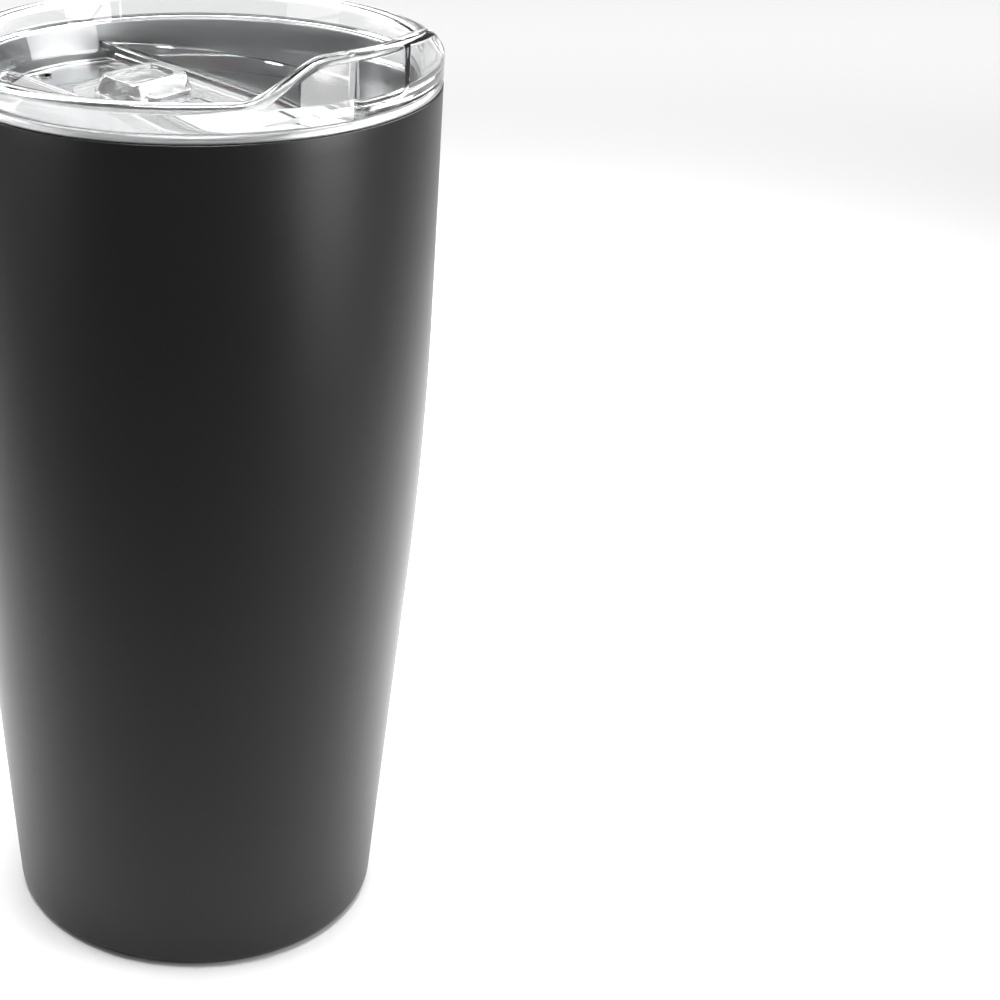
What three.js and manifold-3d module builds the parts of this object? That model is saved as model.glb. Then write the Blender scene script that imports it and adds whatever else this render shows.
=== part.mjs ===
// Insulated tumbler with a clear push-in lid and a sliding closure.
// Millimetres. +Z is up, the origin is the centre of the foot, and the
// drinking spout and the slide point along +X.

import * as THREE from 'three';
import { mergeVertices } from 'three/addons/utils/BufferGeometryUtils.js';
import Module from 'manifold-3d';

const wasm = await Module();
wasm.setup();

// ---------------------------------------------------------------- driving sizes

// Cup
const shellHeight = 169;        // foot to the top edge of the coated shell
const topRadius = 44.5;         // outside of the straight upper wall
const straightLength = 41;      // cylindrical stretch below the top edge
const blendRadius = 715;        // side view radius between cylinder and cone
const taperDegrees = 4.4;       // slope of the lower wall
const shellWall = 0.5;
const footRound = 2.5;          // rounding from the wall to the foot ring
const footRingWidth = 3;        // flat ring that the cup stands on
const linerWall = 0.5;
const neckGap = 1.6;            // between shell and liner beside the lid
const vacuumGap = 3;            // between shell and liner below the neck
const neckBlend = 12;           // height over which one gap becomes the other
const floorGap = 1.7;           // between the getter and the liner's floor
const linerRound = 8;           // rounding from the liner wall to its floor
const lipHeight = 0.8;          // thickness of the liner's rolled lip
const lipInset = 0.1;           // the lip's edge inside the coated wall

// Insulation and base
const foilThickness = 0.15;
const foilMargin = 14;          // bare liner above and below the foil
const baseHeight = 3;           // underside of the outer base
const baseWall = 0.6;
const baseFlange = 4;           // height of the welded flange
const coverRecess = 0.5;        // cover plate above the ground
const coverWall = 0.6;
const coverRibInset = 8;        // rib inside the cover's edge
const coverRibWall = 1.2;
const portRadius = 0.8;         // evacuation hole
const dimpleRadius = 5;
const dimpleHeight = 1.4;
const beadRadius = 3.4;
const beadFlatRadius = 2.7;     // flat underside of the bead
const beadFit = 0.36;           // between the bead and the dimple
const getterRadius = 5;
const getterHeight = 2.2;
const getterWall = 0.4;

// Lid
const plugDepth = 17.5;         // below the top of the steel lip
const plugWall = 2.3;
const plugChamfer = 0.8;
const rimRise = 5.1;            // low rim above its seat
const rimWidth = 3.2;           // full round at the top
const rimBreak = 0.4;           // chamfer of the rim's lower edge
const waistInset = 0.8;         // wall at the seat inside the rim's inner side
const funnelDrop = 5.4;         // foot of the sloping inner wall below the seat
const spoutRise = 6.4;          // raised lip above the low rim
const spoutHalfAngle = 16.5;    // degrees, level stretch of the raised lip
const spoutRampAngle = 20.5;    // degrees, from level down to the low rim
const grooveDepth = 1.2;
const grooveHeight = 3.6;
const grooveAbovePlug = 5.6;    // from the plug's lower edge
const deckDrop = 5.8;           // track edge at the axis, below the steel lip
const deckSlope = 4.6;          // degrees, down towards the spout
const wingFall = 0.09;          // side deck falls this much for each mm outward
const deckWall = 2;
const trackHalfWidth = 13;
const trackDepth = 3.2;
const railOverhang = 1;         // track edge over the slide's runner
const railHeight = 1.4;
const openingLength = 9.3;      // drinking opening, along the track
const openingHalfWidth = 8.5;
const openingCorner = 2;
const ventRadius = 1.1;
const ventInset = 3.6;          // from the wall at the back
const ventAside = 3.3;          // to the right of the track's centre line
const recessDepth = 0.9;        // pouring recess in the wall inside the spout
const recessHalfAngle = 9.6;    // degrees
const recessFloor = 2.5;        // above the steel lip
const recessTopDrop = 3.6;      // below the top of the raised lip

// Slide
const slideLength = 59.6;
const slideFrontGap = 1.3;      // between its front edge and the wall
const slideCorner = 6;
const plateRise = 1;            // plate above its runners
const gripInset = 9.5;          // middle of the grip from the slide's rear edge
const gripLength = 9;
const gripWidth = 14.6;
const gripFlare = 1.6;          // foot of the grip beyond its top, each side
const gripRise = 2.3;           // above the track edge
const gripCorner = 2;
const thumbLength = 6;
const thumbWidth = 10.6;
const thumbDepth = 0.9;

// Clearances
const fit = 0.3;                // between pieces that touch
const lidClearance = 0.7;       // between the plug and the cup's neck
const openingMargin = 1.3;      // opening's front edge inside the slide's edge

// Mesh fineness
const bodySegments = 60;
const lidSegments = 72;
const smallSegments = 36;
const beadSegments = 20;

// ------------------------------------------------------------ worked-out sizes

const taper = THREE.MathUtils.degToRad(taperDegrees);
const slope = THREE.MathUtils.degToRad(deckSlope);
const straightFrom = shellHeight - straightLength;
const blendFrom = straightFrom - blendRadius * Math.sin(taper);
const lipBottom = shellHeight + fit;
const lipTop = lipBottom + lipHeight;
const neckRadius = topRadius - shellWall - neckGap - linerWall;
const plugRadius = neckRadius - lidClearance;
const plugBottom = lipTop - plugDepth;
const rimSeat = lipTop + fit;
const rimTop = rimSeat + rimRise;
const wallInner = plugRadius - plugWall;
const deckHeight = lipTop - deckDrop;
const rimInner = topRadius - rimWidth;
const waistRadius = rimInner - waistInset;
const runnerHalfWidth = trackHalfWidth + railOverhang - fit;
const slideFrontRadius = wallInner - slideFrontGap;
const slideRear = slideFrontRadius - slideLength;
const gripPlace = slideRear + gripInset;
const openingRadius = slideFrontRadius - openingMargin;
const openingRear = openingRadius - openingLength;
const baseTop = baseHeight + baseWall;
const baseEdge = bodyRadius(baseHeight) - shellWall - fit;
const getterOffset = (dimpleRadius + baseEdge - baseWall) / 2;
const linerFloor = baseTop + fit + getterHeight + floorGap;

// ------------------------------------------------------------------- materials

/** A plain standard material. */
function finish(color, roughness, metalness, opacity = 1) {
  return new THREE.MeshStandardMaterial({
    color,
    roughness,
    metalness,
    opacity,
    transparent: opacity < 1,
  });
}

const finishes = {
  coat: finish(0x26272a, 0.5, 0.1),
  steel: finish(0xb9bcc0, 0.32, 1),
  copper: finish(0xb87353, 0.35, 1),
  getter: finish(0x55585c, 0.7, 0.6),
  solder: finish(0x9fa3a8, 0.4, 1),
  clear: finish(0xe9edef, 0.08, 0, 0.35),
  silicone: finish(0xe2e4e4, 0.6, 0, 0.8),
};

// -------------------------------------------------------------- shape functions

/** Merges a geometry's shared corners and turns its faces outward. */
function tidy(geometry) {
  const bare = geometry.clone();
  bare.deleteAttribute('normal');
  bare.deleteAttribute('uv');
  const merged = mergeVertices(bare, 1e-4);
  const place = merged.getAttribute('position');
  const index = merged.getIndex().array;
  const kept = [];
  let volume = 0;
  const [a, b, c] = [new THREE.Vector3(), new THREE.Vector3(), new THREE.Vector3()];
  for (let i = 0; i < index.length; i += 3) {
    const [p, q, r] = [index[i], index[i + 1], index[i + 2]];
    if (p === q || q === r || r === p) continue;
    kept.push(p, q, r);
    a.fromBufferAttribute(place, p);
    b.fromBufferAttribute(place, q);
    c.fromBufferAttribute(place, r);
    volume += a.dot(b.cross(c));
  }
  if (volume < 0) kept.reverse();
  merged.setIndex(kept);
  return merged;
}

/** A geometry as a solid that can be joined and cut. */
function solid(geometry) {
  const merged = tidy(geometry);
  const mesh = new wasm.Mesh({
    numProp: 3,
    vertProperties: new Float32Array(merged.getAttribute('position').array),
    triVerts: new Uint32Array(merged.getIndex().array),
  });
  return new wasm.Manifold(mesh);
}

/** A joined or cut solid as a geometry. */
function geometryOf(body) {
  const mesh = body.getMesh();
  const geometry = new THREE.BufferGeometry();
  geometry.setAttribute('position', new THREE.BufferAttribute(mesh.vertProperties, 3));
  geometry.setIndex(new THREE.BufferAttribute(mesh.triVerts, 1));
  geometry.computeVertexNormals();
  return geometry;
}

/** A body of revolution about Z from [radius, height] points. */
function turned(points, segments) {
  const profile = points.map(([radius, height]) => new THREE.Vector2(radius, height));
  if (points[0][0] > 0) profile.push(profile[0].clone());
  const geometry = new THREE.LatheGeometry(profile, segments);
  geometry.rotateX(Math.PI / 2);
  return tidy(geometry);
}

/** Points of an arc in a profile, angles in degrees from +radius. */
function arc(radius, height, size, from, to, steps) {
  const points = [];
  for (let i = 0; i <= steps; i += 1) {
    const angle = THREE.MathUtils.degToRad(from + ((to - from) * i) / steps);
    points.push([radius + size * Math.cos(angle), height + size * Math.sin(angle)]);
  }
  return points;
}

/** An upright extrusion of a plan outline between two heights. */
function upright(shape, from, to) {
  const geometry = new THREE.ExtrudeGeometry(shape, {
    depth: to - from,
    bevelEnabled: false,
    curveSegments: 8,
  });
  geometry.translate(0, 0, from);
  return geometry;
}

/** A rectangle with rounded corners, centred on the origin. */
function roundedRectangle(length, width, corner) {
  const x = length / 2 - corner;
  const y = width / 2 - corner;
  const shape = new THREE.Shape();
  shape.absarc(x, y, corner, 0, Math.PI / 2, false);
  shape.absarc(-x, y, corner, Math.PI / 2, Math.PI, false);
  shape.absarc(-x, -y, corner, Math.PI, 1.5 * Math.PI, false);
  shape.absarc(x, -y, corner, 1.5 * Math.PI, 2 * Math.PI, false);
  return shape;
}

/** Smooth step from 0 to 1 as t goes from 0 to 1. */
function ease(t) {
  return THREE.MathUtils.smoothstep(t, 0, 1);
}

// ---------------------------------------------------------------- cup profiles

/** Outside radius of the coated shell at a height. */
function bodyRadius(z) {
  if (z >= straightFrom) return topRadius;
  const drop = straightFrom - Math.max(z, blendFrom);
  const curved = topRadius - blendRadius + Math.sqrt(blendRadius ** 2 - drop ** 2);
  return curved - Math.max(blendFrom - z, 0) * Math.tan(taper);
}

/** Outside radius of the liner at a height. */
function linerRadius(z) {
  const neckBottom = plugBottom - lidClearance;
  const below = ease((neckBottom - z) / neckBlend);
  const gap = neckGap + (vacuumGap - neckGap) * below;
  return bodyRadius(z) - shellWall - gap;
}

/** Heights that follow the body's side view between two levels. */
function bodyHeights(from, to) {
  const steps = 4;
  const heights = [from];
  for (let i = 0; i <= steps; i += 1) {
    heights.push(blendFrom + ((straightFrom - blendFrom) * i) / steps);
  }
  heights.push(to);
  return heights.filter((z) => z >= from && z <= to);
}

/** The black coated outer shell, rounded in to the ring that it stands on. */
function outerShell() {
  const corner = bodyRadius(footRound) - footRound;
  const ringInner = corner - footRingWidth;
  const heights = bodyHeights(footRound, shellHeight);
  const outside = heights.slice(1).map((z) => [bodyRadius(z), z]);
  const inside = heights.slice(1).reverse().map((z) => [bodyRadius(z) - shellWall, z]);
  return turned([
    [ringInner, 0],
    ...arc(corner, footRound, footRound, -90, 0, 4),
    ...outside,
    ...inside,
    ...arc(corner, footRound, footRound - shellWall, 0, -90, 3),
    [ringInner, shellWall],
  ], bodySegments);
}

/** The steel liner with the flange that closes the top of the wall. */
function innerLiner() {
  const lipRound = lipHeight / 2;
  const lipEdge = topRadius - lipInset - lipRound;
  const cornerTop = linerFloor + linerRound;
  const corner = linerRadius(cornerTop) - linerRound;
  const neckBottom = plugBottom - lidClearance;
  const shoulder = neckBottom - neckBlend;
  const heights = bodyHeights(cornerTop, shoulder);
  heights.push(shoulder + neckBlend / 3, neckBottom - neckBlend / 3, neckBottom);
  const wall = heights.slice(1);
  return turned([
    [0, linerFloor],
    ...arc(corner, cornerTop, linerRound, -90, 0, 4),
    ...wall.map((z) => [linerRadius(z), z]),
    [linerRadius(lipBottom), lipBottom],
    ...arc(lipEdge, lipBottom + lipRound, lipRound, -90, 90, 4),
    ...arc(neckRadius + lipRound, lipTop - lipRound, lipRound, 90, 180, 2),
    ...wall.reverse().map((z) => [linerRadius(z) - linerWall, z]),
    ...arc(corner, cornerTop, linerRound - linerWall, 0, -90, 4),
    [0, linerFloor + linerWall],
  ], bodySegments);
}

/** Reflective foil wrapped round the liner inside the vacuum. */
function copperWrap() {
  const bottom = linerFloor + linerRound + foilMargin;
  const top = plugBottom - lidClearance - neckBlend - foilMargin;
  const heights = bodyHeights(bottom, top);
  const inside = heights.map((z) => [linerRadius(z) + fit, z]);
  const outside = heights.map((z) => [linerRadius(z) + fit + foilThickness, z]);
  return turned([...outside, ...inside.reverse()], smallSegments);
}

/** The pressed base that closes the vacuum, with its evacuation dimple. */
function outerBase() {
  const top = baseHeight + baseFlange;
  const edge = (z) => bodyRadius(z) - shellWall - fit;
  return turned([
    [portRadius, baseHeight + dimpleHeight],
    [dimpleRadius, baseHeight],
    [edge(baseHeight) - baseWall, baseHeight],
    [edge(baseTop), baseTop],
    [edge(top), top],
    [edge(top) - baseWall, top],
    [edge(top) - baseWall, baseTop + baseWall],
    [edge(top) - 2 * baseWall, baseTop],
    [dimpleRadius + baseWall, baseTop],
    [portRadius, baseTop + dimpleHeight],
  ], smallSegments);
}

/** The bead that seals the evacuation hole. */
function vacuumSeal() {
  const ceiling = (r) => {
    const across = (r - portRadius) / (dimpleRadius - portRadius);
    return baseHeight + dimpleHeight * (1 - across) - beadFit;
  };
  const bottom = ceiling(beadRadius) - beadFit;
  return turned([
    [0, bottom],
    [beadFlatRadius, bottom],
    [beadRadius, ceiling(beadRadius)],
    [portRadius, ceiling(portRadius)],
    [0, ceiling(portRadius)],
  ], beadSegments);
}

/** The cover plate under the foot, with the rib that is glued to the base. */
function baseCover() {
  const edge = bodyRadius(footRound) - footRound - footRingWidth - fit;
  const top = coverRecess + coverWall;
  const rib = edge - coverRibInset;
  return turned([
    [0, coverRecess],
    [edge, coverRecess],
    [edge, top],
    [rib, top],
    [rib, baseHeight - fit],
    [rib - coverRibWall, baseHeight - fit],
    [rib - coverRibWall, top],
    [0, top],
  ], smallSegments);
}

/** The cup that holds the getter on the base, inside the vacuum. */
function getterHolder() {
  const bottom = baseTop + fit;
  const inner = getterRadius - getterWall;
  const geometry = turned([
    [0, bottom],
    [getterRadius, bottom],
    [getterRadius, bottom + getterHeight],
    [inner, bottom + getterHeight],
    [inner, bottom + getterWall],
    [0, bottom + getterWall],
  ], beadSegments);
  return geometry.translate(-getterOffset, 0, 0);
}

/** The getter pellet, which keeps the vacuum clean. */
function getterPellet() {
  const bottom = baseTop + fit + getterWall + fit;
  const top = baseTop + getterHeight;
  const radius = getterRadius - getterWall - fit;
  const geometry = turned([
    [0, bottom],
    [radius, bottom],
    [radius, top - fit],
    [radius - fit, top],
    [0, top],
  ], beadSegments);
  return geometry.translate(-getterOffset, 0, 0);
}

// ------------------------------------------------------------------------- lid

/** How far the rim rises above its low height, by angle from the spout. */
function rimLift(angle) {
  const away = Math.abs(THREE.MathUtils.radToDeg(angle)) - spoutHalfAngle;
  return spoutRise * (1 - ease(away / spoutRampAngle));
}

/** Raises every corner above a level by the rim's lift at its angle. */
function raiseAbove(geometry, level) {
  const place = geometry.getAttribute('position');
  for (let i = 0; i < place.count; i += 1) {
    if (place.getZ(i) < level) continue;
    const angle = Math.atan2(place.getY(i), place.getX(i));
    place.setZ(i, place.getZ(i) + rimLift(angle));
  }
  return geometry;
}

/** The plug wall, its sloping inner side and the full-round rim that rises at the spout. */
function lidWall() {
  const round = rimWidth / 2;
  const wall = turned([
    [wallInner, plugBottom],
    [plugRadius - plugChamfer, plugBottom],
    [plugRadius, plugBottom + plugChamfer],
    [plugRadius, rimSeat],
    [topRadius - rimBreak, rimSeat],
    [topRadius, rimSeat + rimBreak],
    ...arc(topRadius - round, rimTop - round, round, 0, 180, 6),
    [waistRadius, rimSeat],
    [wallInner, rimSeat - funnelDrop],
  ], lidSegments);
  return solid(raiseAbove(wall, rimSeat + 2 * rimBreak));
}

/** Places a shape that was drawn along the track in the tilted deck's frame. */
function onDeck(geometry) {
  return geometry.rotateY(slope).translate(0, 0, deckHeight);
}

/** The deck's cross-section in [across, up], in the tilted deck's frame. */
function deckSection() {
  const reach = plugRadius;
  const fall = wingFall * (reach - trackHalfWidth);
  const railFoot = trackHalfWidth + railOverhang;
  const side = railFoot + deckWall;
  const half = [
    [0, -trackDepth],
    [railFoot, -trackDepth],
    [railFoot, -railHeight],
    [trackHalfWidth, -railHeight],
    [trackHalfWidth, 0],
    [reach, -fall],
    [reach, -fall - deckWall],
    [side, -deckWall - wingFall * (side - trackHalfWidth)],
    [side, -trackDepth - deckWall],
    [0, -trackDepth - deckWall],
  ];
  const other = half.slice(1, -1).reverse().map(([v, z]) => [-v, z]);
  return new THREE.Shape([...half, ...other].map(([v, z]) => new THREE.Vector2(v, z)));
}

/** The deck: a sunk, tilted track between two side wings, trimmed to the wall. */
function deck() {
  const length = 4 * topRadius;
  const sheet = new THREE.ExtrudeGeometry(deckSection(), { depth: length, bevelEnabled: false });
  const across = new THREE.Vector3(0, 1, 0);
  const up = new THREE.Vector3(0, 0, 1);
  const along = new THREE.Vector3(1, 0, 0);
  sheet.applyMatrix4(new THREE.Matrix4().makeBasis(across, up, along));
  sheet.translate(-length / 2, 0, 0);
  const joint = (plugRadius + wallInner) / 2;
  const core = turned([[0, plugBottom], [joint, plugBottom], [joint, rimTop], [0, rimTop]], lidSegments);
  return solid(onDeck(sheet)).intersect(solid(core));
}

/** A sector of a ring about the axis, in front of the spout's centre line. */
function ringSector(inner, outer, halfAngle) {
  const reach = THREE.MathUtils.degToRad(halfAngle);
  const shape = new THREE.Shape();
  shape.absarc(0, 0, outer, -reach, reach, false);
  shape.absarc(0, 0, inner, reach, -reach, true);
  return shape;
}

/** The pouring recess in the wall inside the spout. */
function pouringRecess() {
  const back = (waistRadius + rimInner) / 2 + recessDepth;
  const floor = lipTop + recessFloor;
  const top = rimTop + spoutRise - recessTopDrop;
  return solid(upright(ringSector(wallInner, back, recessHalfAngle), floor, top));
}

/** The hole in the deck that the slide covers, following the rim in front. */
function drinkingOpening() {
  const corner = Math.asin(openingHalfWidth / openingRadius);
  const shape = new THREE.Shape();
  shape.absarc(0, 0, openingRadius, -corner, corner, false);
  const rear = openingRear + openingCorner;
  const side = openingHalfWidth - openingCorner;
  shape.absarc(rear, side, openingCorner, Math.PI / 2, Math.PI, false);
  shape.absarc(rear, -side, openingCorner, Math.PI, 1.5 * Math.PI, false);
  return solid(upright(shape, plugBottom, deckHeight));
}

/** The small air hole at the back of the track. */
function vent() {
  const shape = new THREE.Shape();
  shape.absarc(ventInset - wallInner, -ventAside, ventRadius, 0, 2 * Math.PI, false);
  return solid(upright(shape, plugBottom, rimTop));
}

/** The groove round the plug that holds the gasket. */
function gasketGroove() {
  const bottom = plugBottom + grooveAbovePlug;
  const inner = plugRadius - grooveDepth;
  return solid(turned([
    [inner, bottom],
    [topRadius, bottom],
    [topRadius, bottom + grooveHeight],
    [inner, bottom + grooveHeight],
  ], lidSegments));
}

/** The clear lid. */
function lidBody() {
  let body = lidWall().add(deck());
  [pouringRecess(), drinkingOpening(), vent(), gasketGroove()].forEach((cut) => {
    body = body.subtract(cut);
  });
  return geometryOf(body);
}

/** The silicone ring in the plug's groove, with two sealing fins. */
function lidGasket() {
  const bottom = plugBottom + grooveAbovePlug + fit;
  const top = bottom + grooveHeight - 2 * fit;
  const inner = plugRadius - grooveDepth + fit;
  const finTip = neckRadius - fit;
  const web = (inner + finTip) / 2 + fit / 2;
  const fin = (top - bottom) / 4;
  return turned([
    [inner, bottom],
    [web, bottom],
    [finTip, bottom + fin],
    [web, bottom + 2 * fin],
    [finTip, bottom + 3 * fin],
    [web, top],
    [inner, top],
  ], bodySegments);
}

// ----------------------------------------------------------------------- slide

/** Plan outline of the slide's plate, rounded at the back and along the rim. */
function plateOutline(halfWidth) {
  const corner = Math.asin(halfWidth / slideFrontRadius);
  const rear = slideRear + slideCorner;
  const side = halfWidth - slideCorner;
  const shape = new THREE.Shape();
  shape.absarc(0, 0, slideFrontRadius, -corner, corner, false);
  shape.absarc(rear, side, slideCorner, Math.PI / 2, Math.PI, false);
  shape.absarc(rear, -side, slideCorner, Math.PI, 1.5 * Math.PI, false);
  return shape;
}

/** The bevelled thumb grip, wider at its foot. */
function grip(from, to) {
  const shape = roundedRectangle(gripLength, gripWidth, gripCorner);
  const geometry = upright(shape, from, to);
  const place = geometry.getAttribute('position');
  for (let i = 0; i < place.count; i += 1) {
    if (place.getZ(i) > from) continue;
    place.setX(i, place.getX(i) * (1 + (2 * gripFlare) / gripLength));
    place.setY(i, place.getY(i) * (1 + (2 * gripFlare) / gripWidth));
  }
  return geometry.translate(gripPlace, 0, 0);
}

/** The slide: runners under the track edges, a plate and a hollowed grip. */
function slideTab() {
  const runnerFoot = -trackDepth + fit;
  const runnerTop = -railHeight - fit;
  const plateTop = runnerTop + plateRise;
  const thumb = roundedRectangle(thumbLength, thumbWidth, gripCorner / 2);
  const hollow = upright(thumb, gripRise - thumbDepth, gripRise + 1);
  hollow.translate(gripPlace, 0, 0);
  const body = solid(upright(plateOutline(runnerHalfWidth), runnerFoot, runnerTop))
    .add(solid(upright(plateOutline(trackHalfWidth - fit), runnerFoot, plateTop)))
    .add(solid(grip(runnerTop, gripRise)))
    .subtract(solid(hollow));
  return onDeck(geometryOf(body));
}

// -------------------------------------------------------------------- assembly

const tumbler = new THREE.Group();
const cup = new THREE.Group();
const lid = new THREE.Group();
tumbler.add(cup, lid);

/** Adds one named piece to a group. */
function place(group, name, geometry, material) {
  const mesh = new THREE.Mesh(geometry, material);
  mesh.name = name;
  group.add(mesh);
}

place(cup, 'outer_shell', outerShell(), finishes.coat);
place(cup, 'inner_liner', innerLiner(), finishes.steel);
place(cup, 'copper_wrap', copperWrap(), finishes.copper);
place(cup, 'outer_base', outerBase(), finishes.steel);
place(cup, 'vacuum_seal', vacuumSeal(), finishes.solder);
place(cup, 'getter_holder', getterHolder(), finishes.steel);
place(cup, 'getter_pellet', getterPellet(), finishes.getter);
place(cup, 'base_cover', baseCover(), finishes.coat);
place(lid, 'lid_body', lidBody(), finishes.clear);
place(lid, 'lid_gasket', lidGasket(), finishes.silicone);
place(lid, 'slide_tab', slideTab(), finishes.clear);

export default tumbler;
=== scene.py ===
"""Insulated tumbler with a clear push-in lid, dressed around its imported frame.

Metres, +Z up, with the origin at the centre of the foot and the spout towards +X.
The frame gives the heights and radii that the pieces share. Each sub-assembly is a
class that holds its own sizes, builds its meshes and dresses them.
"""

import logging
import math
from collections.abc import Callable, Sequence
from dataclasses import dataclass
from enum import Enum
from typing import Any

import bmesh
import bpy
from mathutils import Matrix, Vector

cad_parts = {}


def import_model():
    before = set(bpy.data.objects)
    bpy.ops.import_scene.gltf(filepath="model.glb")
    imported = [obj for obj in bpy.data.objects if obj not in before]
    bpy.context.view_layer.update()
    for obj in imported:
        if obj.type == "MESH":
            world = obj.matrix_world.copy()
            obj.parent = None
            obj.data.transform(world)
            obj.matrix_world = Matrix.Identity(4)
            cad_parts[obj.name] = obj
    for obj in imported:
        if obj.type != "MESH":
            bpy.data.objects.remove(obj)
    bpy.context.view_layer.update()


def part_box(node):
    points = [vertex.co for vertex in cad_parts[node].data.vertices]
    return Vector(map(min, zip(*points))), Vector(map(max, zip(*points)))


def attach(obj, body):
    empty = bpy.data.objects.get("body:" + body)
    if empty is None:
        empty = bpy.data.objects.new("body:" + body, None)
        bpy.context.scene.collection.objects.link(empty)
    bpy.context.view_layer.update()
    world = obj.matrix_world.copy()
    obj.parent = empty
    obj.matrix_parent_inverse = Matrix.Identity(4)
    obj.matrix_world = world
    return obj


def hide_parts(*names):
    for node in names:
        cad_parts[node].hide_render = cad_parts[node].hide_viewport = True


MM = 0.001
ARC_STEP = math.radians(11)
FRONT_STEP = math.radians(1.5)
FLAT_TURN = math.radians(0.5)
SAME_PLACE = 1e-7
SAME_LEVEL = 1e-6
ON_AXIS = 1e-9
MERGE_DISTANCE = 2e-6
EDGE_STEPS = 5
TURNED_CREASE = math.radians(32)
MOULDED_CREASE = math.radians(30)

Pair = tuple[float, float]
Triple = tuple[float, float, float]
Point = Pair
Corner = Triple
Colour = Triple

log = logging.getLogger("tumbler")


# ------------------------------------------------------------------ named options


class Body(Enum):
    """The moving bodies of the frame."""

    CUP = "cup"
    LID = "lid"
    SLIDE = "slide"


class Join(Enum):
    """Ways to combine two closed meshes."""

    ADD = "UNION"
    CUT = "DIFFERENCE"
    KEEP = "INTERSECT"


# ------------------------------------------------------------------ outline tools


def rounded(corners: Sequence[Corner], closed: bool = True) -> list[Point]:
    """Turns corners with a rounding each into a smooth outline.

    Args:
        corners: First coordinate, second coordinate and rounding radius of each corner.
        closed: True if the last corner joins the first.

    Returns:
        The outline's points, with each rounding as an arc.
    """
    points: list[Point] = []
    count = len(corners)
    for i, (x, y, size) in enumerate(corners):
        here = Vector((x, y))
        before = Vector(corners[i - 1][:2]) - here
        after = Vector(corners[(i + 1) % count][:2]) - here
        at_end = not closed and i in (0, count - 1)
        turn = 0.0 if at_end else math.pi - before.angle(after)
        if size <= 0 or turn < FLAT_TURN:
            points.append((x, y))
            continue
        reach = min(size * math.tan(turn / 2), before.length / 2, after.length / 2)
        radius = reach / math.tan(turn / 2)
        inward = (before.normalized() + after.normalized()).normalized()
        centre = here + inward * (radius / math.cos(turn / 2))
        arm = here + before.normalized() * reach - centre
        way = math.copysign(1.0, after.x * before.y - after.y * before.x)
        steps = max(2, math.ceil(turn / ARC_STEP))
        for k in range(steps + 1):
            angle = way * turn * k / steps
            c, s = math.cos(angle), math.sin(angle)
            points.append((centre.x + arm.x * c - arm.y * s, centre.y + arm.x * s + arm.y * c))
    return [p for i, p in enumerate(points) if i == 0 or math.dist(p, points[i - 1]) > SAME_PLACE]


def divided(points: Sequence[Point], step: float, where: Callable[[Point], bool]) -> list[Point]:
    """Adds points along an outline's long edges.

    Args:
        points: The outline.
        step: Longest edge that is left where the test holds.
        where: Test on an edge's middle.

    Returns:
        The outline with the extra points.
    """
    result: list[Point] = []
    for i, (x, y) in enumerate(points):
        result.append((x, y))
        ahead = points[(i + 1) % len(points)]
        middle = ((x + ahead[0]) / 2, (y + ahead[1]) / 2)
        if not where(middle):
            continue
        parts = math.ceil(math.dist((x, y), ahead) / step)
        for k in range(1, parts):
            share = k / parts
            result.append((x + (ahead[0] - x) * share, y + (ahead[1] - y) * share))
    return result


def sector_outline(radius: float, half_width: float, rear: float, corner: float) -> list[Point]:
    """An outline along the track: an arc about the axis in front, rounded corners behind.

    Args:
        radius: Radius of the front arc.
        half_width: Half of the width.
        rear: Place of the rear edge along the track.
        corner: Rounding of the rear corners.

    Returns:
        Points of the outline in [along, across], anticlockwise.
    """
    reach = math.asin(half_width / radius)
    steps = math.ceil(reach / FRONT_STEP)
    front = [-reach + 2 * reach * k / steps for k in range(steps + 1)]
    edge = [(radius * math.cos(a), radius * math.sin(a), 0.0) for a in front]
    behind = [(rear, half_width, corner), (rear, -half_width, corner)]
    return rounded([*edge, *behind])


def circle_outline(
    radius: float, steps: int, centre: Point = (0.0, 0.0), phase: float = 0.0
) -> list[Point]:
    """A circle of even steps, anticlockwise.

    Args:
        radius: The circle's radius.
        steps: Number of its points.
        centre: Its centre.
        phase: Place of the first point, as a share of a step.

    Returns:
        The circle's points.
    """
    turns = [math.tau * (k + phase) / steps for k in range(steps)]
    return [(centre[0] + radius * math.cos(a), centre[1] + radius * math.sin(a)) for a in turns]


def quarter_round(size: float, steps: int = EDGE_STEPS) -> list[Point]:
    """Rise and run of each point of a quarter round, which starts upright and ends level."""
    turns = [math.pi / 2 * k / steps for k in range(steps + 1)]
    return [(size * math.sin(a), size * (1 - math.cos(a))) for a in turns]


def smooth(share: float) -> float:
    """A smooth step from 0 to 1 as the share goes from 0 to 1."""
    t = min(max(share, 0.0), 1.0)
    return t * t * (3 - 2 * t)


# --------------------------------------------------------------------- mesh tools


def mesh_object(name: str, bm: bmesh.types.BMesh) -> bpy.types.Object:
    """Makes an object in the scene from a bmesh, which is freed.

    Args:
        name: The object's name.
        bm: The bmesh.

    Returns:
        The object.
    """
    mesh = bpy.data.meshes.new(name)
    bm.to_mesh(mesh)
    bm.free()
    obj = bpy.data.objects.new(name, mesh)
    bpy.context.scene.collection.objects.link(obj)
    return obj


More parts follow.
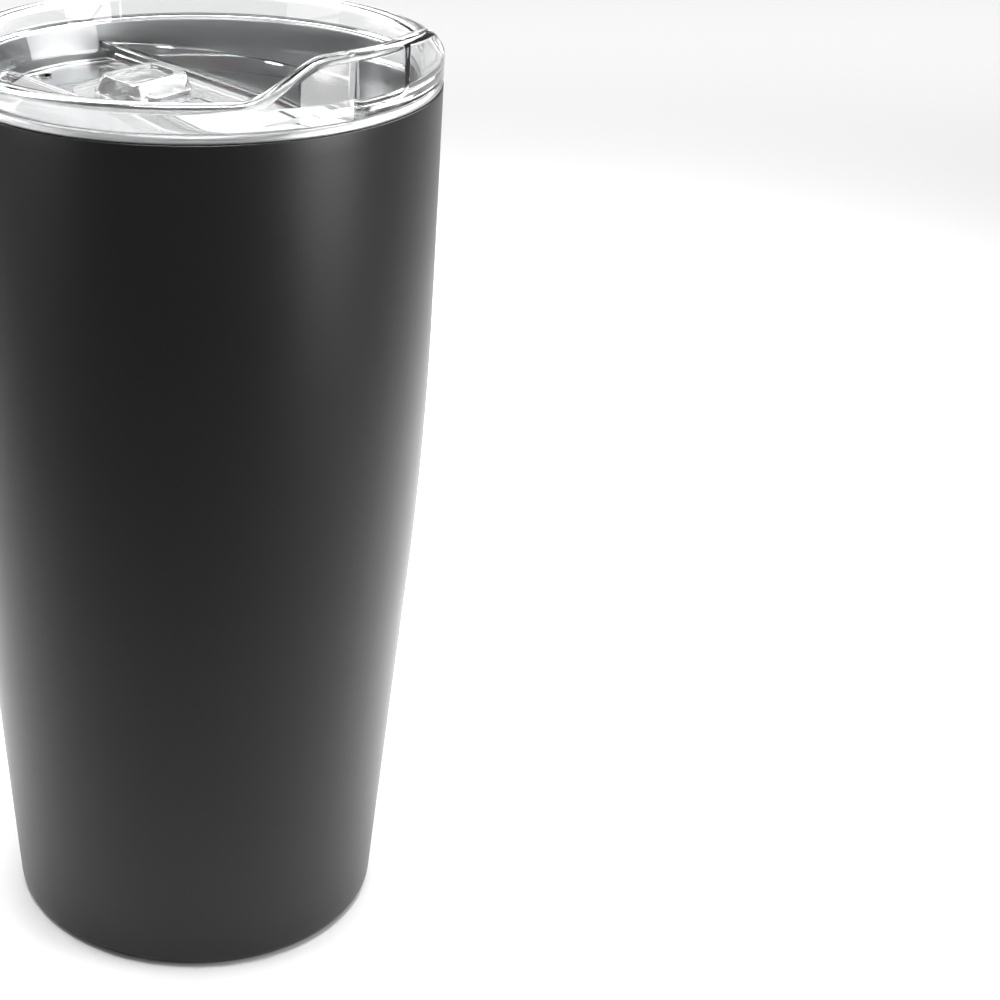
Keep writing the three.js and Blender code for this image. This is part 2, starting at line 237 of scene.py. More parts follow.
def stacked(outline: Sequence[Point], levels: Sequence[Point]) -> bmesh.types.BMesh:
    """A closed prism whose outline grows or shrinks from level to level.

    Args:
        outline: Anticlockwise outline.
        levels: Height and outward offset of each level, from the lowest up.

    Returns:
        The prism as a bmesh, with its faces pointing out.
    """
    count = len(outline)
    normals: list[Vector] = []
    for i in range(count):
        along = Vector(outline[(i + 1) % count]) - Vector(outline[i - 1])
        normals.append(Vector((along.y, -along.x)).normalized())
    bm = bmesh.new()
    rings = []
    for height, offset in levels:
        places = [Vector(p) + n * offset for p, n in zip(outline, normals)]
        rings.append([bm.verts.new((p.x, p.y, height)) for p in places])
    for lower, upper in zip(rings, rings[1:]):
        for i in range(count):
            j = (i + 1) % count
            bm.faces.new((lower[i], lower[j], upper[j], upper[i]))
    bm.faces.new(list(reversed(rings[0])))
    bm.faces.new(rings[-1])
    return bm


def round_levels(bottom: float, top: float, low_round: float, high_round: float) -> list[Point]:
    """Levels of a prism whose lower and upper edges are rounded over.

    Args:
        bottom: Lowest height.
        top: Highest height.
        low_round: Rounding of the lower edge.
        high_round: Rounding of the upper edge.

    Returns:
        Height and offset of each level for stacked().
    """
    low = [(bottom + run, rise - low_round) for rise, run in quarter_round(low_round)]
    high = [(top - high_round + rise, -run) for rise, run in quarter_round(high_round)]
    return [*low, *high]


def brim_levels(top: float, edge: float, steps: int = EDGE_STEPS) -> list[Point]:
    """Levels of a cutter that opens out to a rounded brim and goes on above it.

    Args:
        top: Height of the brim.
        edge: Rounding of the brim.
        steps: Steps of the rounding.

    Returns:
        Height and offset of each level for stacked().
    """
    opening = [(top - edge + rise, run) for rise, run in quarter_round(edge, steps)]
    return [*opening, (top + 2 * edge, edge)]


def flared_levels(bottom: float, top: float, edge: float) -> list[Point]:
    """Levels of a cutter that leaves a hole with rounded edges in a plate.

    Args:
        bottom: Underside of the plate.
        top: Upper side of the plate.
        edge: Rounding of the hole's edges.

    Returns:
        Height and offset of each level for stacked().
    """
    closing = [(bottom + edge - rise, run) for rise, run in reversed(quarter_round(edge))]
    return [(bottom - 2 * edge, edge), *closing, *brim_levels(top, edge)]


def hollow_levels(floor: float, top: float, edge: float) -> list[Point]:
    """Levels of a cutter that leaves a hollow with a rounded brim and a soft floor.

    Args:
        floor: Height of the hollow's floor.
        top: Height of its brim.
        edge: Rounding of the brim and of the floor's corners.

    Returns:
        Height and offset of each level for stacked().
    """
    steps = EDGE_STEPS - 1
    low = [(floor + run, rise - edge) for rise, run in quarter_round(edge, steps)]
    levels = [*low, *brim_levels(top, edge, steps)]
    return [p for i, p in enumerate(levels) if i == 0 or p[0] > levels[i - 1][0] + SAME_LEVEL]


def settle(obj: bpy.types.Object, modifier: bpy.types.Modifier) -> None:
    """Makes a modifier's result the object's own mesh and removes the modifier.

    Args:
        obj: The object.
        modifier: Its only modifier.
    """
    depsgraph = bpy.context.evaluated_depsgraph_get()
    result = bpy.data.meshes.new_from_object(obj.evaluated_get(depsgraph))
    obj.modifiers.remove(modifier)
    old = obj.data
    obj.data = result
    bpy.data.meshes.remove(old)


def combine(base: bpy.types.Object, tool: bpy.types.Object, join: Join) -> bpy.types.Object:
    """Joins or cuts the base with the tool, which is removed.

    Args:
        base: Closed mesh that is changed.
        tool: Closed mesh that is joined to it or cut from it.
        join: How they are combined.

    Returns:
        The base.
    """
    modifier = base.modifiers.new("combine", "BOOLEAN")
    modifier.operation = join.value
    modifier.solver = "MANIFOLD"
    modifier.object = tool
    settle(base, modifier)
    bpy.data.meshes.remove(tool.data)
    return base


def finished(obj: bpy.types.Object, name: str, crease: float) -> bpy.types.Object:
    """Names a piece, shades it smooth up to an angle and turns its faces outward.

    Args:
        obj: The piece.
        name: Its name.
        crease: Angle past which an edge stays sharp.

    Returns:
        The piece.
    """
    mesh = obj.data
    bm = bmesh.new()
    bm.from_mesh(mesh)
    if bm.calc_volume(signed=True) < 0:
        bmesh.ops.reverse_faces(bm, faces=bm.faces)
    bm.to_mesh(mesh)
    bm.free()
    mesh.shade_smooth()
    mesh.set_sharp_from_angle(angle=crease)
    obj.name = name
    mesh.name = name
    return obj


def moulded(obj: bpy.types.Object, name: str, material: bpy.types.Material) -> bpy.types.Object:
    """Finishes a piece that was joined and cut from several meshes of one material.

    Args:
        obj: The piece.
        name: Its name.
        material: The material of all its faces.

    Returns:
        The piece, with its shading normals leaned towards its large faces.
    """
    piece = finished(obj, name, MOULDED_CREASE)
    piece.data.materials.clear()
    piece.data.materials.append(material)
    piece.data.polygons.foreach_set("material_index", [0] * len(piece.data.polygons))
    modifier = piece.modifiers.new("normals", "WEIGHTED_NORMAL")
    modifier.keep_sharp = True
    settle(piece, modifier)
    return piece


# --------------------------------------------------------------------- node tools


class Graph:
    """Adds nodes to one node tree and links them."""

    def __init__(self, tree: bpy.types.NodeTree) -> None:
        """Takes the tree that the nodes go into."""
        self.tree = tree

    def add(self, kind: str, inputs: dict[Any, Any] | None = None, **settings: Any) -> bpy.types.Node:
        """Adds a node.

        Args:
            kind: The node's type.
            inputs: A value or another node's output socket for each input.
            **settings: The node's own settings.

        Returns:
            The node.
        """
        node = self.tree.nodes.new(kind)
        for name, value in settings.items():
            setattr(node, name, value)
        self.fill(node, inputs or {})
        return node

    def fill(self, node: bpy.types.Node, inputs: dict[Any, Any]) -> None:
        """Sets a node's inputs.

        Args:
            node: The node.
            inputs: A value or another node's output socket for each input.
        """
        for key, value in inputs.items():
            if isinstance(value, bpy.types.NodeSocket):
                self.tree.links.new(value, node.inputs[key])
            else:
                node.inputs[key].default_value = value

    def math(self, operation: str, a: Any, b: Any = 0.0, c: Any = 0.0) -> bpy.types.NodeSocket:
        """Adds a math node and returns its result."""
        return self.add("ShaderNodeMath", {0: a, 1: b, 2: c}, operation=operation).outputs[0]

    def ramp(self, value: Any, low: Any, high: Any, start: Any, end: Any) -> bpy.types.NodeSocket:
        """Maps a value from low..high to start..end along a smooth step and returns the result."""
        inputs = {0: value, 1: low, 2: high, 3: start, 4: end}
        return self.add("ShaderNodeMapRange", inputs, interpolation_type="SMOOTHSTEP").outputs[0]

    def noise(self, vector: Any, scale: float, detail: float, rough: float = 0.5) -> bpy.types.NodeSocket:
        """Adds a noise texture and returns its value."""
        inputs = {"Vector": vector, "Scale": scale, "Detail": detail, "Roughness": rough}
        return self.add("ShaderNodeTexNoise", inputs).outputs[0]

    def bump(self, height: Any, strength: float, distance: float) -> bpy.types.NodeSocket:
        """Adds a bump node and returns its normal."""
        inputs = {"Height": height, "Strength": strength, "Distance": distance}
        return self.add("ShaderNodeBump", inputs).outputs[0]

    def level(self, place: Any) -> bpy.types.NodeSocket:
        """Splits coordinates and returns the height."""
        return self.add("ShaderNodeSeparateXYZ", {0: place}).outputs[2]


class Lathe:
    """A Geometry Nodes tree that turns a profile about the axis and raises it at the spout."""

    def __init__(self) -> None:
        """Builds the tree once, for every turned piece."""
        self.tree = bpy.data.node_groups.new("lathe", "GeometryNodeTree")
        self.sockets: dict[str, str] = {}
        self._declare()
        self._wire()

    def _declare(self) -> None:
        face = self.tree.interface
        face.new_socket("Profile", in_out="INPUT", socket_type="NodeSocketGeometry")
        inputs = {
            "Segments": "NodeSocketInt",
            "Spout rise": "NodeSocketFloat",
            "Level half angle": "NodeSocketFloat",
            "Ramp angle": "NodeSocketFloat",
            "Material": "NodeSocketMaterial",
        }
        for name, kind in inputs.items():
            socket = face.new_socket(name, in_out="INPUT", socket_type=kind)
            self.sockets[name] = socket.identifier
        face.new_socket("Geometry", in_out="OUTPUT", socket_type="NodeSocketGeometry")

    def _wire(self) -> None:
        """Lays a grid of profile points by angles and moves each point to its place."""
        g = Graph(self.tree)
        given = g.add("NodeGroupInput").outputs
        count = g.add("GeometryNodeAttributeDomainSize", {0: given["Profile"]}).outputs["Point Count"]
        columns = g.math("ADD", given["Segments"], 1.0)
        grid = g.add("GeometryNodeMeshGrid", {"Vertices X": columns, "Vertices Y": count})
        index = g.add("GeometryNodeInputIndex").outputs[0]
        column = g.math("FLOOR", g.math("DIVIDE", index, count))
        row = g.math("SUBTRACT", index, g.math("MULTIPLY", column, count))
        turn = g.math("DIVIDE", column, given["Segments"])
        angle = g.math("MULTIPLY", g.math("SUBTRACT", turn, 0.5), math.tau)
        place = g.add("GeometryNodeInputPosition").outputs[0]
        inputs = {"Geometry": given["Profile"], "Value": place, "Index": row}
        at = g.add("GeometryNodeSampleIndex", inputs, data_type="FLOAT_VECTOR").outputs[0]
        flat = g.add("ShaderNodeSeparateXYZ", {0: at}).outputs
        shares = {name: self._sampled(g, given["Profile"], name, row) for name in ("lift", "inner")}
        past = g.math("SUBTRACT", g.math("ABSOLUTE", angle), given["Level half angle"])
        rise = g.ramp(past, 0.0, given["Ramp angle"], given["Spout rise"], 0.0)
        height = g.math("MULTIPLY_ADD", rise, shares["lift"], flat["Z"])
        x = g.math("MULTIPLY", flat["X"], g.math("COSINE", angle))
        y = g.math("MULTIPLY", flat["X"], g.math("SINE", angle))
        point = g.add("ShaderNodeCombineXYZ", {0: x, 1: y, 2: height}).outputs[0]
        laid = g.add("GeometryNodeSetPosition", {"Geometry": grid.outputs["Mesh"], "Position": point})
        inputs = {"Geometry": laid.outputs[0], "Name": "inner", "Value": shares["inner"]}
        marked = g.add("GeometryNodeStoreNamedAttribute", inputs, data_type="FLOAT", domain="POINT")
        inputs = {"Geometry": marked.outputs[0], "Distance": MERGE_DISTANCE}
        closed = g.add("GeometryNodeMergeByDistance", inputs)
        whole = g.add("GeometryNodeRealizeInstances", {"Geometry": closed.outputs[0]})
        inputs = {"Geometry": whole.outputs[0], "Material": given["Material"]}
        dressed = g.add("GeometryNodeSetMaterial", inputs)
        g.add("NodeGroupOutput", {0: dressed.outputs[0]})

    @staticmethod
    def _sampled(g: Graph, profile: Any, name: str, row: Any) -> bpy.types.NodeSocket:
        """Reads one of the profile's attributes.

        Args:
            g: The tree's graph.
            profile: The profile's geometry.
            name: The attribute's name.
            row: The row of the grid that it is read at.

        Returns:
            The attribute's value.
        """
        held = g.add("GeometryNodeInputNamedAttribute", {"Name": name}, data_type="FLOAT").outputs[0]
        inputs = {"Geometry": profile, "Value": held, "Index": row}
        return g.add("GeometryNodeSampleIndex", inputs, data_type="FLOAT").outputs[0]

    def turn(
        self,
        name: str,
        outline: Sequence[Point],
        material: bpy.types.Material,
        segments: int,
        lift: Callable[[Point], float] | None = None,
        inner: Callable[[Point], float] | None = None,
        spout: Triple = (0.0, 0.0, 1.0),
    ) -> bpy.types.Object:
        """Turns an outline into a closed piece.

        Args:
            name: The piece's name.
            outline: Radius and height of each point. It closes on itself or on the axis.
            material: The piece's finish.
            segments: Number of steps round the axis.
            lift: Share of the spout's rise that a point takes.
            inner: Share that marks the inside of a wall.
            spout: Rise, half angle of the level stretch, and angle of the ramp.

        Returns:
            The piece, as a plain mesh.
        """
        points = list(outline)
        if points[0][0] > ON_AXIS:
            points.append(points[0])
        profile = bpy.data.meshes.new(name + "_profile")
        edges = [(i, i + 1) for i in range(len(points) - 1)]
        profile.from_pydata([(r, 0.0, z) for r, z in points], edges, [])
        for key, rule in (("lift", lift), ("inner", inner)):
            values = profile.attributes.new(key, "FLOAT", "POINT")
            values.data.foreach_set("value", [rule(p) if rule else 0.0 for p in points])
        holder = bpy.data.objects.new(name + "_holder", profile)
        bpy.context.scene.collection.objects.link(holder)
        modifier = holder.modifiers.new("lathe", "NODES")
        modifier.node_group = self.tree
        values = {"Segments": segments, "Material": material}
        values.update(zip(("Spout rise", "Level half angle", "Ramp angle"), spout))
        for key, value in values.items():
            modifier[self.sockets[key]] = value
        depsgraph = bpy.context.evaluated_depsgraph_get()
        mesh = bpy.data.meshes.new_from_object(holder.evaluated_get(depsgraph))
        bpy.data.meshes.remove(profile)
        obj = bpy.data.objects.new(name, mesh)
        bpy.context.scene.collection.objects.link(obj)
        return finished(obj, name, TURNED_CREASE)


# ----------------------------------------------------------------------- finishes


class Finish:
    """A finish that makes its own procedural material."""

    name: str
    slot: str

    def material(self) -> bpy.types.Material:
        """Makes the material."""
        raise NotImplementedError

    def _start(self) -> tuple[bpy.types.Material, Graph, bpy.types.Node, bpy.types.NodeSocket]:
        """Starts a material.

        Returns:
            The material, its graph, its surface shader and the object coordinates.
        """
        material = bpy.data.materials.new(self.name)
        material.use_nodes = True
        material.node_tree.nodes.clear()
        g = Graph(material.node_tree)
        shader = g.add("ShaderNodeBsdfPrincipled")
        g.add("ShaderNodeOutputMaterial", {0: shader.outputs[0]})
        place = g.add("ShaderNodeTexCoord").outputs["Object"]
        return material, g, shader, place

    @staticmethod
    def _tone(g: Graph, share: Any, dark: Colour, light: Colour) -> bpy.types.NodeSocket:
        """Mixes two colours by a share and returns the colour."""
        inputs = {0: share, 6: (*dark, 1.0), 7: (*light, 1.0)}
        return g.add("ShaderNodeMix", inputs, data_type="RGBA").outputs[2]

    @staticmethod
    def _around(g: Graph, place: Any, along: float, across: float) -> bpy.types.NodeSocket:
        """Stretches the coordinates so that a pattern runs round the axis.

        Args:
            g: The material's graph.
            place: Object coordinates.
            along: Detail along the way round, per turn.
            across: Detail across it, per metre.

        Returns:
            The stretched coordinates.
        """
        parts = g.add("ShaderNodeSeparateXYZ", {0: place}).outputs
        flat = g.add("ShaderNodeCombineXYZ", {0: parts[0], 1: parts[1]}).outputs[0]
        out = g.add("ShaderNodeVectorMath", {0: flat}, operation="LENGTH").outputs[1]
        round_way = g.add("ShaderNodeVectorMath", {0: flat}, operation="NORMALIZE").outputs[0]
        spread = g.add("ShaderNodeVectorMath", {0: round_way, 3: along}, operation="SCALE").outputs[0]
        turned = g.add("ShaderNodeSeparateXYZ", {0: spread}).outputs
        depth = g.math("MULTIPLY", g.math("ADD", parts[2], out), across)
        return g.add("ShaderNodeCombineXYZ", {0: turned[0], 1: turned[1], 2: depth}).outputs[0]


@dataclass(frozen=True)
class PowderCoat(Finish):
    """Satin black powder coat with a fine orange peel."""

    name: str = "powder_coat"
    slot: str = "shell_coat"
    dark: Colour = (0.0036, 0.0037, 0.0039)
    light: Colour = (0.0062, 0.0063, 0.0066)
    roughness: float = 0.32
    specular: float = 0.3
    peel_scale: float = 1500.0
    speck_scale: float = 5200.0
    speck_height: float = 0.35
    speck_rough: float = 0.05
    cloud_scale: float = 34.0
    cloud_rough: float = 0.06
    scuff_scale: float = 420.0
    scuff_range: Pair = (0.52, 0.66)
    scuff_rough: float = 0.18
    scuff_tone: float = 0.8
    foot_wear_height: float = 1.6 * MM
    relief: float = 0.16
    relief_depth: float = 0.06 * MM

    def material(self) -> bpy.types.Material:
        """Makes the material: peel and specks as relief, cloudy roughness, a scuffed foot.

        Returns:
            The material.
        """
        made, g, shader, place = self._start()
        peel = g.noise(place, self.peel_scale, detail=3.0)
        speck = g.noise(place, self.speck_scale, detail=1.0)
        cloud = g.noise(place, self.cloud_scale, detail=4.0, rough=0.6)
        scuff = g.noise(place, self.scuff_scale, detail=5.0, rough=0.7)
        near_foot = g.ramp(g.level(place), 0.0, self.foot_wear_height, 1.0, 0.0)
        worn = g.math("MULTIPLY", near_foot, g.ramp(scuff, *self.scuff_range, 0.0, 1.0))
        rough = g.math("MULTIPLY_ADD", cloud, self.cloud_rough, self.roughness - self.cloud_rough / 2)
        rough = g.math("MULTIPLY_ADD", speck, self.speck_rough, rough)
        mottle = g.math("MULTIPLY", g.math("ADD", cloud, speck), 0.5)
        shade = g.math("MULTIPLY_ADD", worn, self.scuff_tone, mottle)
        height = g.math("MULTIPLY_ADD", speck, self.speck_height, peel)
        g.fill(shader, {
            "Base Color": self._tone(g, shade, self.dark, self.light),
            "Roughness": g.math("MULTIPLY_ADD", worn, self.scuff_rough, rough),
            "Specular IOR Level": self.specular,
            "Normal": g.bump(height, self.relief, self.relief_depth),
        })
        return made


@dataclass(frozen=True)
class Steel(Finish):
    """Stainless steel, brushed round the axis up to a lip that has no brush lines."""

    name: str = "steel"
    slot: str = "bare_steel"
    dark: Colour = (0.50, 0.505, 0.515)
    light: Colour = (0.66, 0.665, 0.67)
    roughness: float = 0.34
    lip_from: float = 1.0
    lip_blend: float = 1.2 * MM
    lip_roughness: float = 0.42
    brush_lines: Pair = (1.4, 5200.0)
    coarse_lines: Pair = (5.0, 900.0)
    coarse_share: float = 0.4
    brush_rough: float = 0.12
    cloud_scale: float = 46.0
    cloud_rough: float = 0.04
    cloud_tone: float = 0.3
    relief: float = 0.04
    relief_depth: float = 0.02 * MM
    anisotropy: float = 0.85
    grain_turn: float = 0.25

    def material(self) -> bpy.types.Material:
        """Makes the material: fine and coarse brush lines and a cloudy sheen.

        Returns:
            The material.
        """
        made, g, shader, place = self._start()
        brush = g.noise(self._around(g, place, *self.brush_lines), 1.0, detail=4.0, rough=0.65)
        coarse = g.noise(self._around(g, place, *self.coarse_lines), 1.0, detail=3.0)
        cloud = g.noise(place, self.cloud_scale, detail=3.0)
        brushed = g.ramp(g.level(place), self.lip_from - self.lip_blend, self.lip_from, 1.0, 0.0)
        fine = g.math("MULTIPLY", brush, 1 - self.coarse_share)
        texture = g.math("MULTIPLY_ADD", coarse, self.coarse_share, fine)
        above_lip = self.roughness - self.brush_rough / 2 - self.lip_roughness
        matt = g.math("MULTIPLY_ADD", texture, self.brush_rough, above_lip)
        matt = g.math("MULTIPLY_ADD", cloud, self.cloud_rough, matt)
        shade = g.math("MULTIPLY_ADD", cloud, self.cloud_tone, texture)
        relief = g.math("MULTIPLY", texture, brushed)
        g.fill(shader, {
            "Base Color": self._tone(g, shade, self.dark, self.light),
            "Metallic": 1.0,
            "Roughness": g.math("MULTIPLY_ADD", matt, brushed, self.lip_roughness),
            "Normal": g.bump(relief, self.relief, self.relief_depth),
            "Anisotropic": self.anisotropy,
            "Anisotropic Rotation": self.grain_turn,
            "Tangent": g.add("ShaderNodeTangent", direction_type="RADIAL", axis="Z").outputs[0],
        })
        return made


@dataclass(frozen=True)
class CopperFoil(Finish):
    """Bright copper foil, creased by hand wrapping."""

    name: str = "copper_foil"
    slot: str = "copper_foil"
    dark: Colour = (0.62, 0.30, 0.19)
    light: Colour = (0.88, 0.52, 0.36)
    roughness: float = 0.2
    crease_scale: float = 70.0
    crease_width: float = 0.12
    roll_lines: Pair = (2.0, 2600.0)
    roll_rough: float = 0.14
    roll_height: float = 0.08
    tint_scale: float = 28.0
    relief: float = 0.35
    relief_depth: float = 0.12 * MM

    def material(self) -> bpy.types.Material:
        """Makes the material: creases as relief, heat tints and rolling lines.

        Returns:
            The material.
        """
        made, g, shader, place = self._start()
        inputs = {"Vector": place, "Scale": self.crease_scale}
        creases = g.add("ShaderNodeTexVoronoi", inputs, feature="DISTANCE_TO_EDGE").outputs["Distance"]
        fold = g.ramp(creases, 0.0, self.crease_width, 0.0, 1.0)
        roll = g.noise(self._around(g, place, *self.roll_lines), 1.0, detail=3.0)
        tint = g.noise(place, self.tint_scale, detail=4.0, rough=0.6)
        height = g.math("MULTIPLY_ADD", roll, self.roll_height, fold)
        g.fill(shader, {
            "Base Color": self._tone(g, tint, self.dark, self.light),
            "Metallic": 1.0,
            "Roughness": g.math("MULTIPLY_ADD", roll, self.roll_rough, self.roughness),
            "Normal": g.bump(height, self.relief, self.relief_depth),
        })
        return made


@dataclass(frozen=True)
class DullMetal(Finish):
    """Grey metal with a grainy surface: solder or sintered getter."""

    name: str = "dull_metal"
    slot: str = "seal_bead"
    dark: Colour = (0.33, 0.335, 0.34)
    light: Colour = (0.52, 0.525, 0.53)
    roughness: float = 0.42
    metallic: float = 1.0
    grain_scale: float = 2400.0
    patch_scale: float = 380.0
    patch_rough: float = 0.16
    relief: float = 0.3
    relief_depth: float = 0.05 * MM

    def material(self) -> bpy.types.Material:
        """Makes the material: grains as relief, with a patchy tone.

        Returns:
            The material.
        """
        made, g, shader, place = self._start()
        inputs = {"Vector": place, "Scale": self.grain_scale}
        grains = g.add("ShaderNodeTexVoronoi", inputs).outputs["Distance"]
        patch = g.noise(place, self.patch_scale, detail=4.0)
        base = self.roughness - self.patch_rough / 2
        g.fill(shader, {
            "Base Color": self._tone(g, patch, self.dark, self.light),
            "Metallic": self.metallic,
            "Roughness": g.math("MULTIPLY_ADD", patch, self.patch_rough, base),
            "Normal": g.bump(g.math("ADD", grains, patch), self.relief, self.relief_depth),
        })
        return made


@dataclass(frozen=True)
class ClearPlastic(Finish):
    """Clear glossy moulded plastic with hairline scuffs."""

    name: str = "clear_plastic"
    slot: str = "clear_plastic"
    tint: Colour = (0.905, 0.912, 0.915)
    roughness: float = 0.015
    ior: float = 1.51
    clear: float = 1.0
    haze: float = 0.05
    haze_scale: float = 150.0
    haze_share: float = 0.4
    scuff_lines: Pair = (9.0, 2200.0)
    scuff_range: Pair = (0.6, 0.75)
    ripple_scale: float = 90.0
    relief: float = 0.05
    relief_depth: float = 0.1 * MM

    def material(self) -> bpy.types.Material:
        """Makes the material: a slow mould ripple, a thin haze and fine scuffs.

        Returns:
            The material.
        """
        made, g, shader, place = self._start()
        ripple = g.noise(place, self.ripple_scale, detail=1.0)
        scuff = g.noise(self._around(g, place, *self.scuff_lines), 1.0, detail=5.0, rough=0.7)
        scuffs = g.ramp(scuff, *self.scuff_range, 0.0, 1.0)
        haze = g.noise(place, self.haze_scale, detail=4.0)
        rough = g.math("MULTIPLY_ADD", scuffs, self.haze, self.roughness)
        g.fill(shader, {
            "Base Color": (*self.tint, 1.0),
            "Roughness": g.math("MULTIPLY_ADD", haze, self.haze * self.haze_share, rough),
            "IOR": self.ior,
            "Transmission Weight": self.clear,
            "Normal": g.bump(ripple, self.relief, self.relief_depth),
        })
        return made


@dataclass(frozen=True)
class Silicone(Finish):
    """Translucent natural silicone with a moulded matt surface."""

    name: str = "silicone"
    slot: str = "silicone"
    dark: Colour = (0.74, 0.75, 0.75)
    light: Colour = (0.88, 0.89, 0.89)
    roughness: float = 0.4
    ior: float = 1.41
    clear: float = 0.55
    milk: float = 0.3
    milk_depth: float = 1.5 * MM
    cloud_scale: float = 260.0
    grain_scale: float = 3800.0
    grain_rough: float = 0.12
    relief: float = 0.1
    relief_depth: float = 0.03 * MM

    def material(self) -> bpy.types.Material:
        """Makes the material: a milky body under a fine matt skin.

        Returns:
            The material.
        """
        made, g, shader, place = self._start()
        cloud = g.noise(place, self.cloud_scale, detail=3.0)
        grain = g.noise(place, self.grain_scale, detail=2.0)
        g.fill(shader, {
            "Base Color": self._tone(g, cloud, self.dark, self.light),
            "Roughness": g.math("MULTIPLY_ADD", grain, self.grain_rough, self.roughness),
            "IOR": self.ior,
            "Transmission Weight": self.clear,
            "Subsurface Weight": self.milk,
            "Subsurface Scale": self.milk_depth,
            "Normal": g.bump(grain, self.relief, self.relief_depth),
        })
        return made


# ------------------------------------------------------------------ shared datums


@dataclass(frozen=True)
class Datum:
    """Heights, radii and rules that the pieces share, read from the frame."""

    foot: float
    shell_top: float
    top_radius: float
    lip_top: float
    liner_floor: float
    plug_bottom: float
    spout_top: float
    base_bottom: float
    straight_length: float = 41 * MM
    blend_radius: float = 715 * MM
    taper: float = math.radians(4.4)
    shell_wall: float = 0.5 * MM
    liner_wall: float = 0.5 * MM
    neck_gap: float = 1.6 * MM
    vacuum_gap: float = 3 * MM
    neck_blend: float = 12 * MM
    fit: float = 0.3 * MM
    lid_clearance: float = 0.7 * MM
    seam: float = 0.05 * MM

    @classmethod
    def read(cls) -> "Datum":
        """Reads the shared heights and radii from the boxes of the frame's nodes.

        Returns:
            The datums.
        """
        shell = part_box("outer_shell")
        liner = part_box("inner_liner")
        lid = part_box("lid_body")
        return cls(
            foot=shell[0].z,
            shell_top=shell[1].z,
            top_radius=shell[1].x,
            lip_top=liner[1].z,
            liner_floor=liner[0].z,
            plug_bottom=lid[0].z,
            spout_top=lid[1].z,
            base_bottom=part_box("outer_base")[0].z,
        )

    @property
    def lip_bottom(self) -> float:
        """Underside of the liner's lip, a thin seam above the shell."""
        return self.shell_top + self.seam

    @property
    def straight_from(self) -> float:
        """Lower end of the straight wall."""
        return self.shell_top - self.straight_length

    @property
    def blend_from(self) -> float:
        """Lower end of the side view's long arc."""
        return self.straight_from - self.blend_radius * math.sin(self.taper)

    @property
    def neck_bottom(self) -> float:
        """Level just under the lid's plug."""
        return self.plug_bottom - self.lid_clearance

    @property
    def neck_radius(self) -> float:
        """Inside of the cup's neck."""
        return self.top_radius - self.shell_wall - self.neck_gap - self.liner_wall

    @property
    def plug_radius(self) -> float:
        """Outside of the lid's plug."""
        return self.neck_radius - self.lid_clearance

    @property
    def rim_seat(self) -> float:
        """Underside of the lid's rim."""
        return self.lip_top + self.fit

    def body(self, z: float) -> float:
        """Outside radius of the coated shell at a height.

        Args:
            z: The height.

        Returns:
            The radius: straight at the top, then a long arc, then a cone.
        """
        if z >= self.straight_from:
            return self.top_radius
        drop = self.straight_from - max(z, self.blend_from)
        curved = self.top_radius - self.blend_radius + math.sqrt(self.blend_radius**2 - drop**2)
        return curved - max(self.blend_from - z, 0.0) * math.tan(self.taper)

    def liner(self, z: float) -> float:
        """Outside radius of the liner at a height.

        Args:
            z: The height.

        Returns:
            The radius, which leaves the wider vacuum gap below the neck.
        """
        below = smooth((self.neck_bottom - z) / self.neck_blend)
        gap = self.neck_gap + (self.vacuum_gap - self.neck_gap) * below
        return self.body(z) - self.shell_wall - gap

    @staticmethod
    def heights(low: float, high: float, step: float = 3 * MM) -> list[float]:
        """Even heights between two levels, both of them included."""
        parts = max(1, math.ceil((high - low) / step))
        return [low + (high - low) * k / parts for k in range(parts + 1)]


# ------------------------------------------------------------------ sub-assemblies


class SubAssembly:
    """A group of pieces that ride on one body."""

    body: Body

    def place(self, piece: bpy.types.Object, node: str, slot: str) -> bpy.types.Object:
        """Ties a piece to its body, hides the CAD node that it stands for and logs its triangles.

        Args:
            piece: The piece.
            node: The CAD node that it stands for.
            slot: Not used.

        Returns:
            The piece.
        """
        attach(piece, self.body.value)
        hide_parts(node)
        piece.data.calc_loop_triangles()
        log.info("%s stands for %s, %d triangles", piece.name, node, len(piece.data.loop_triangles))
        return piece


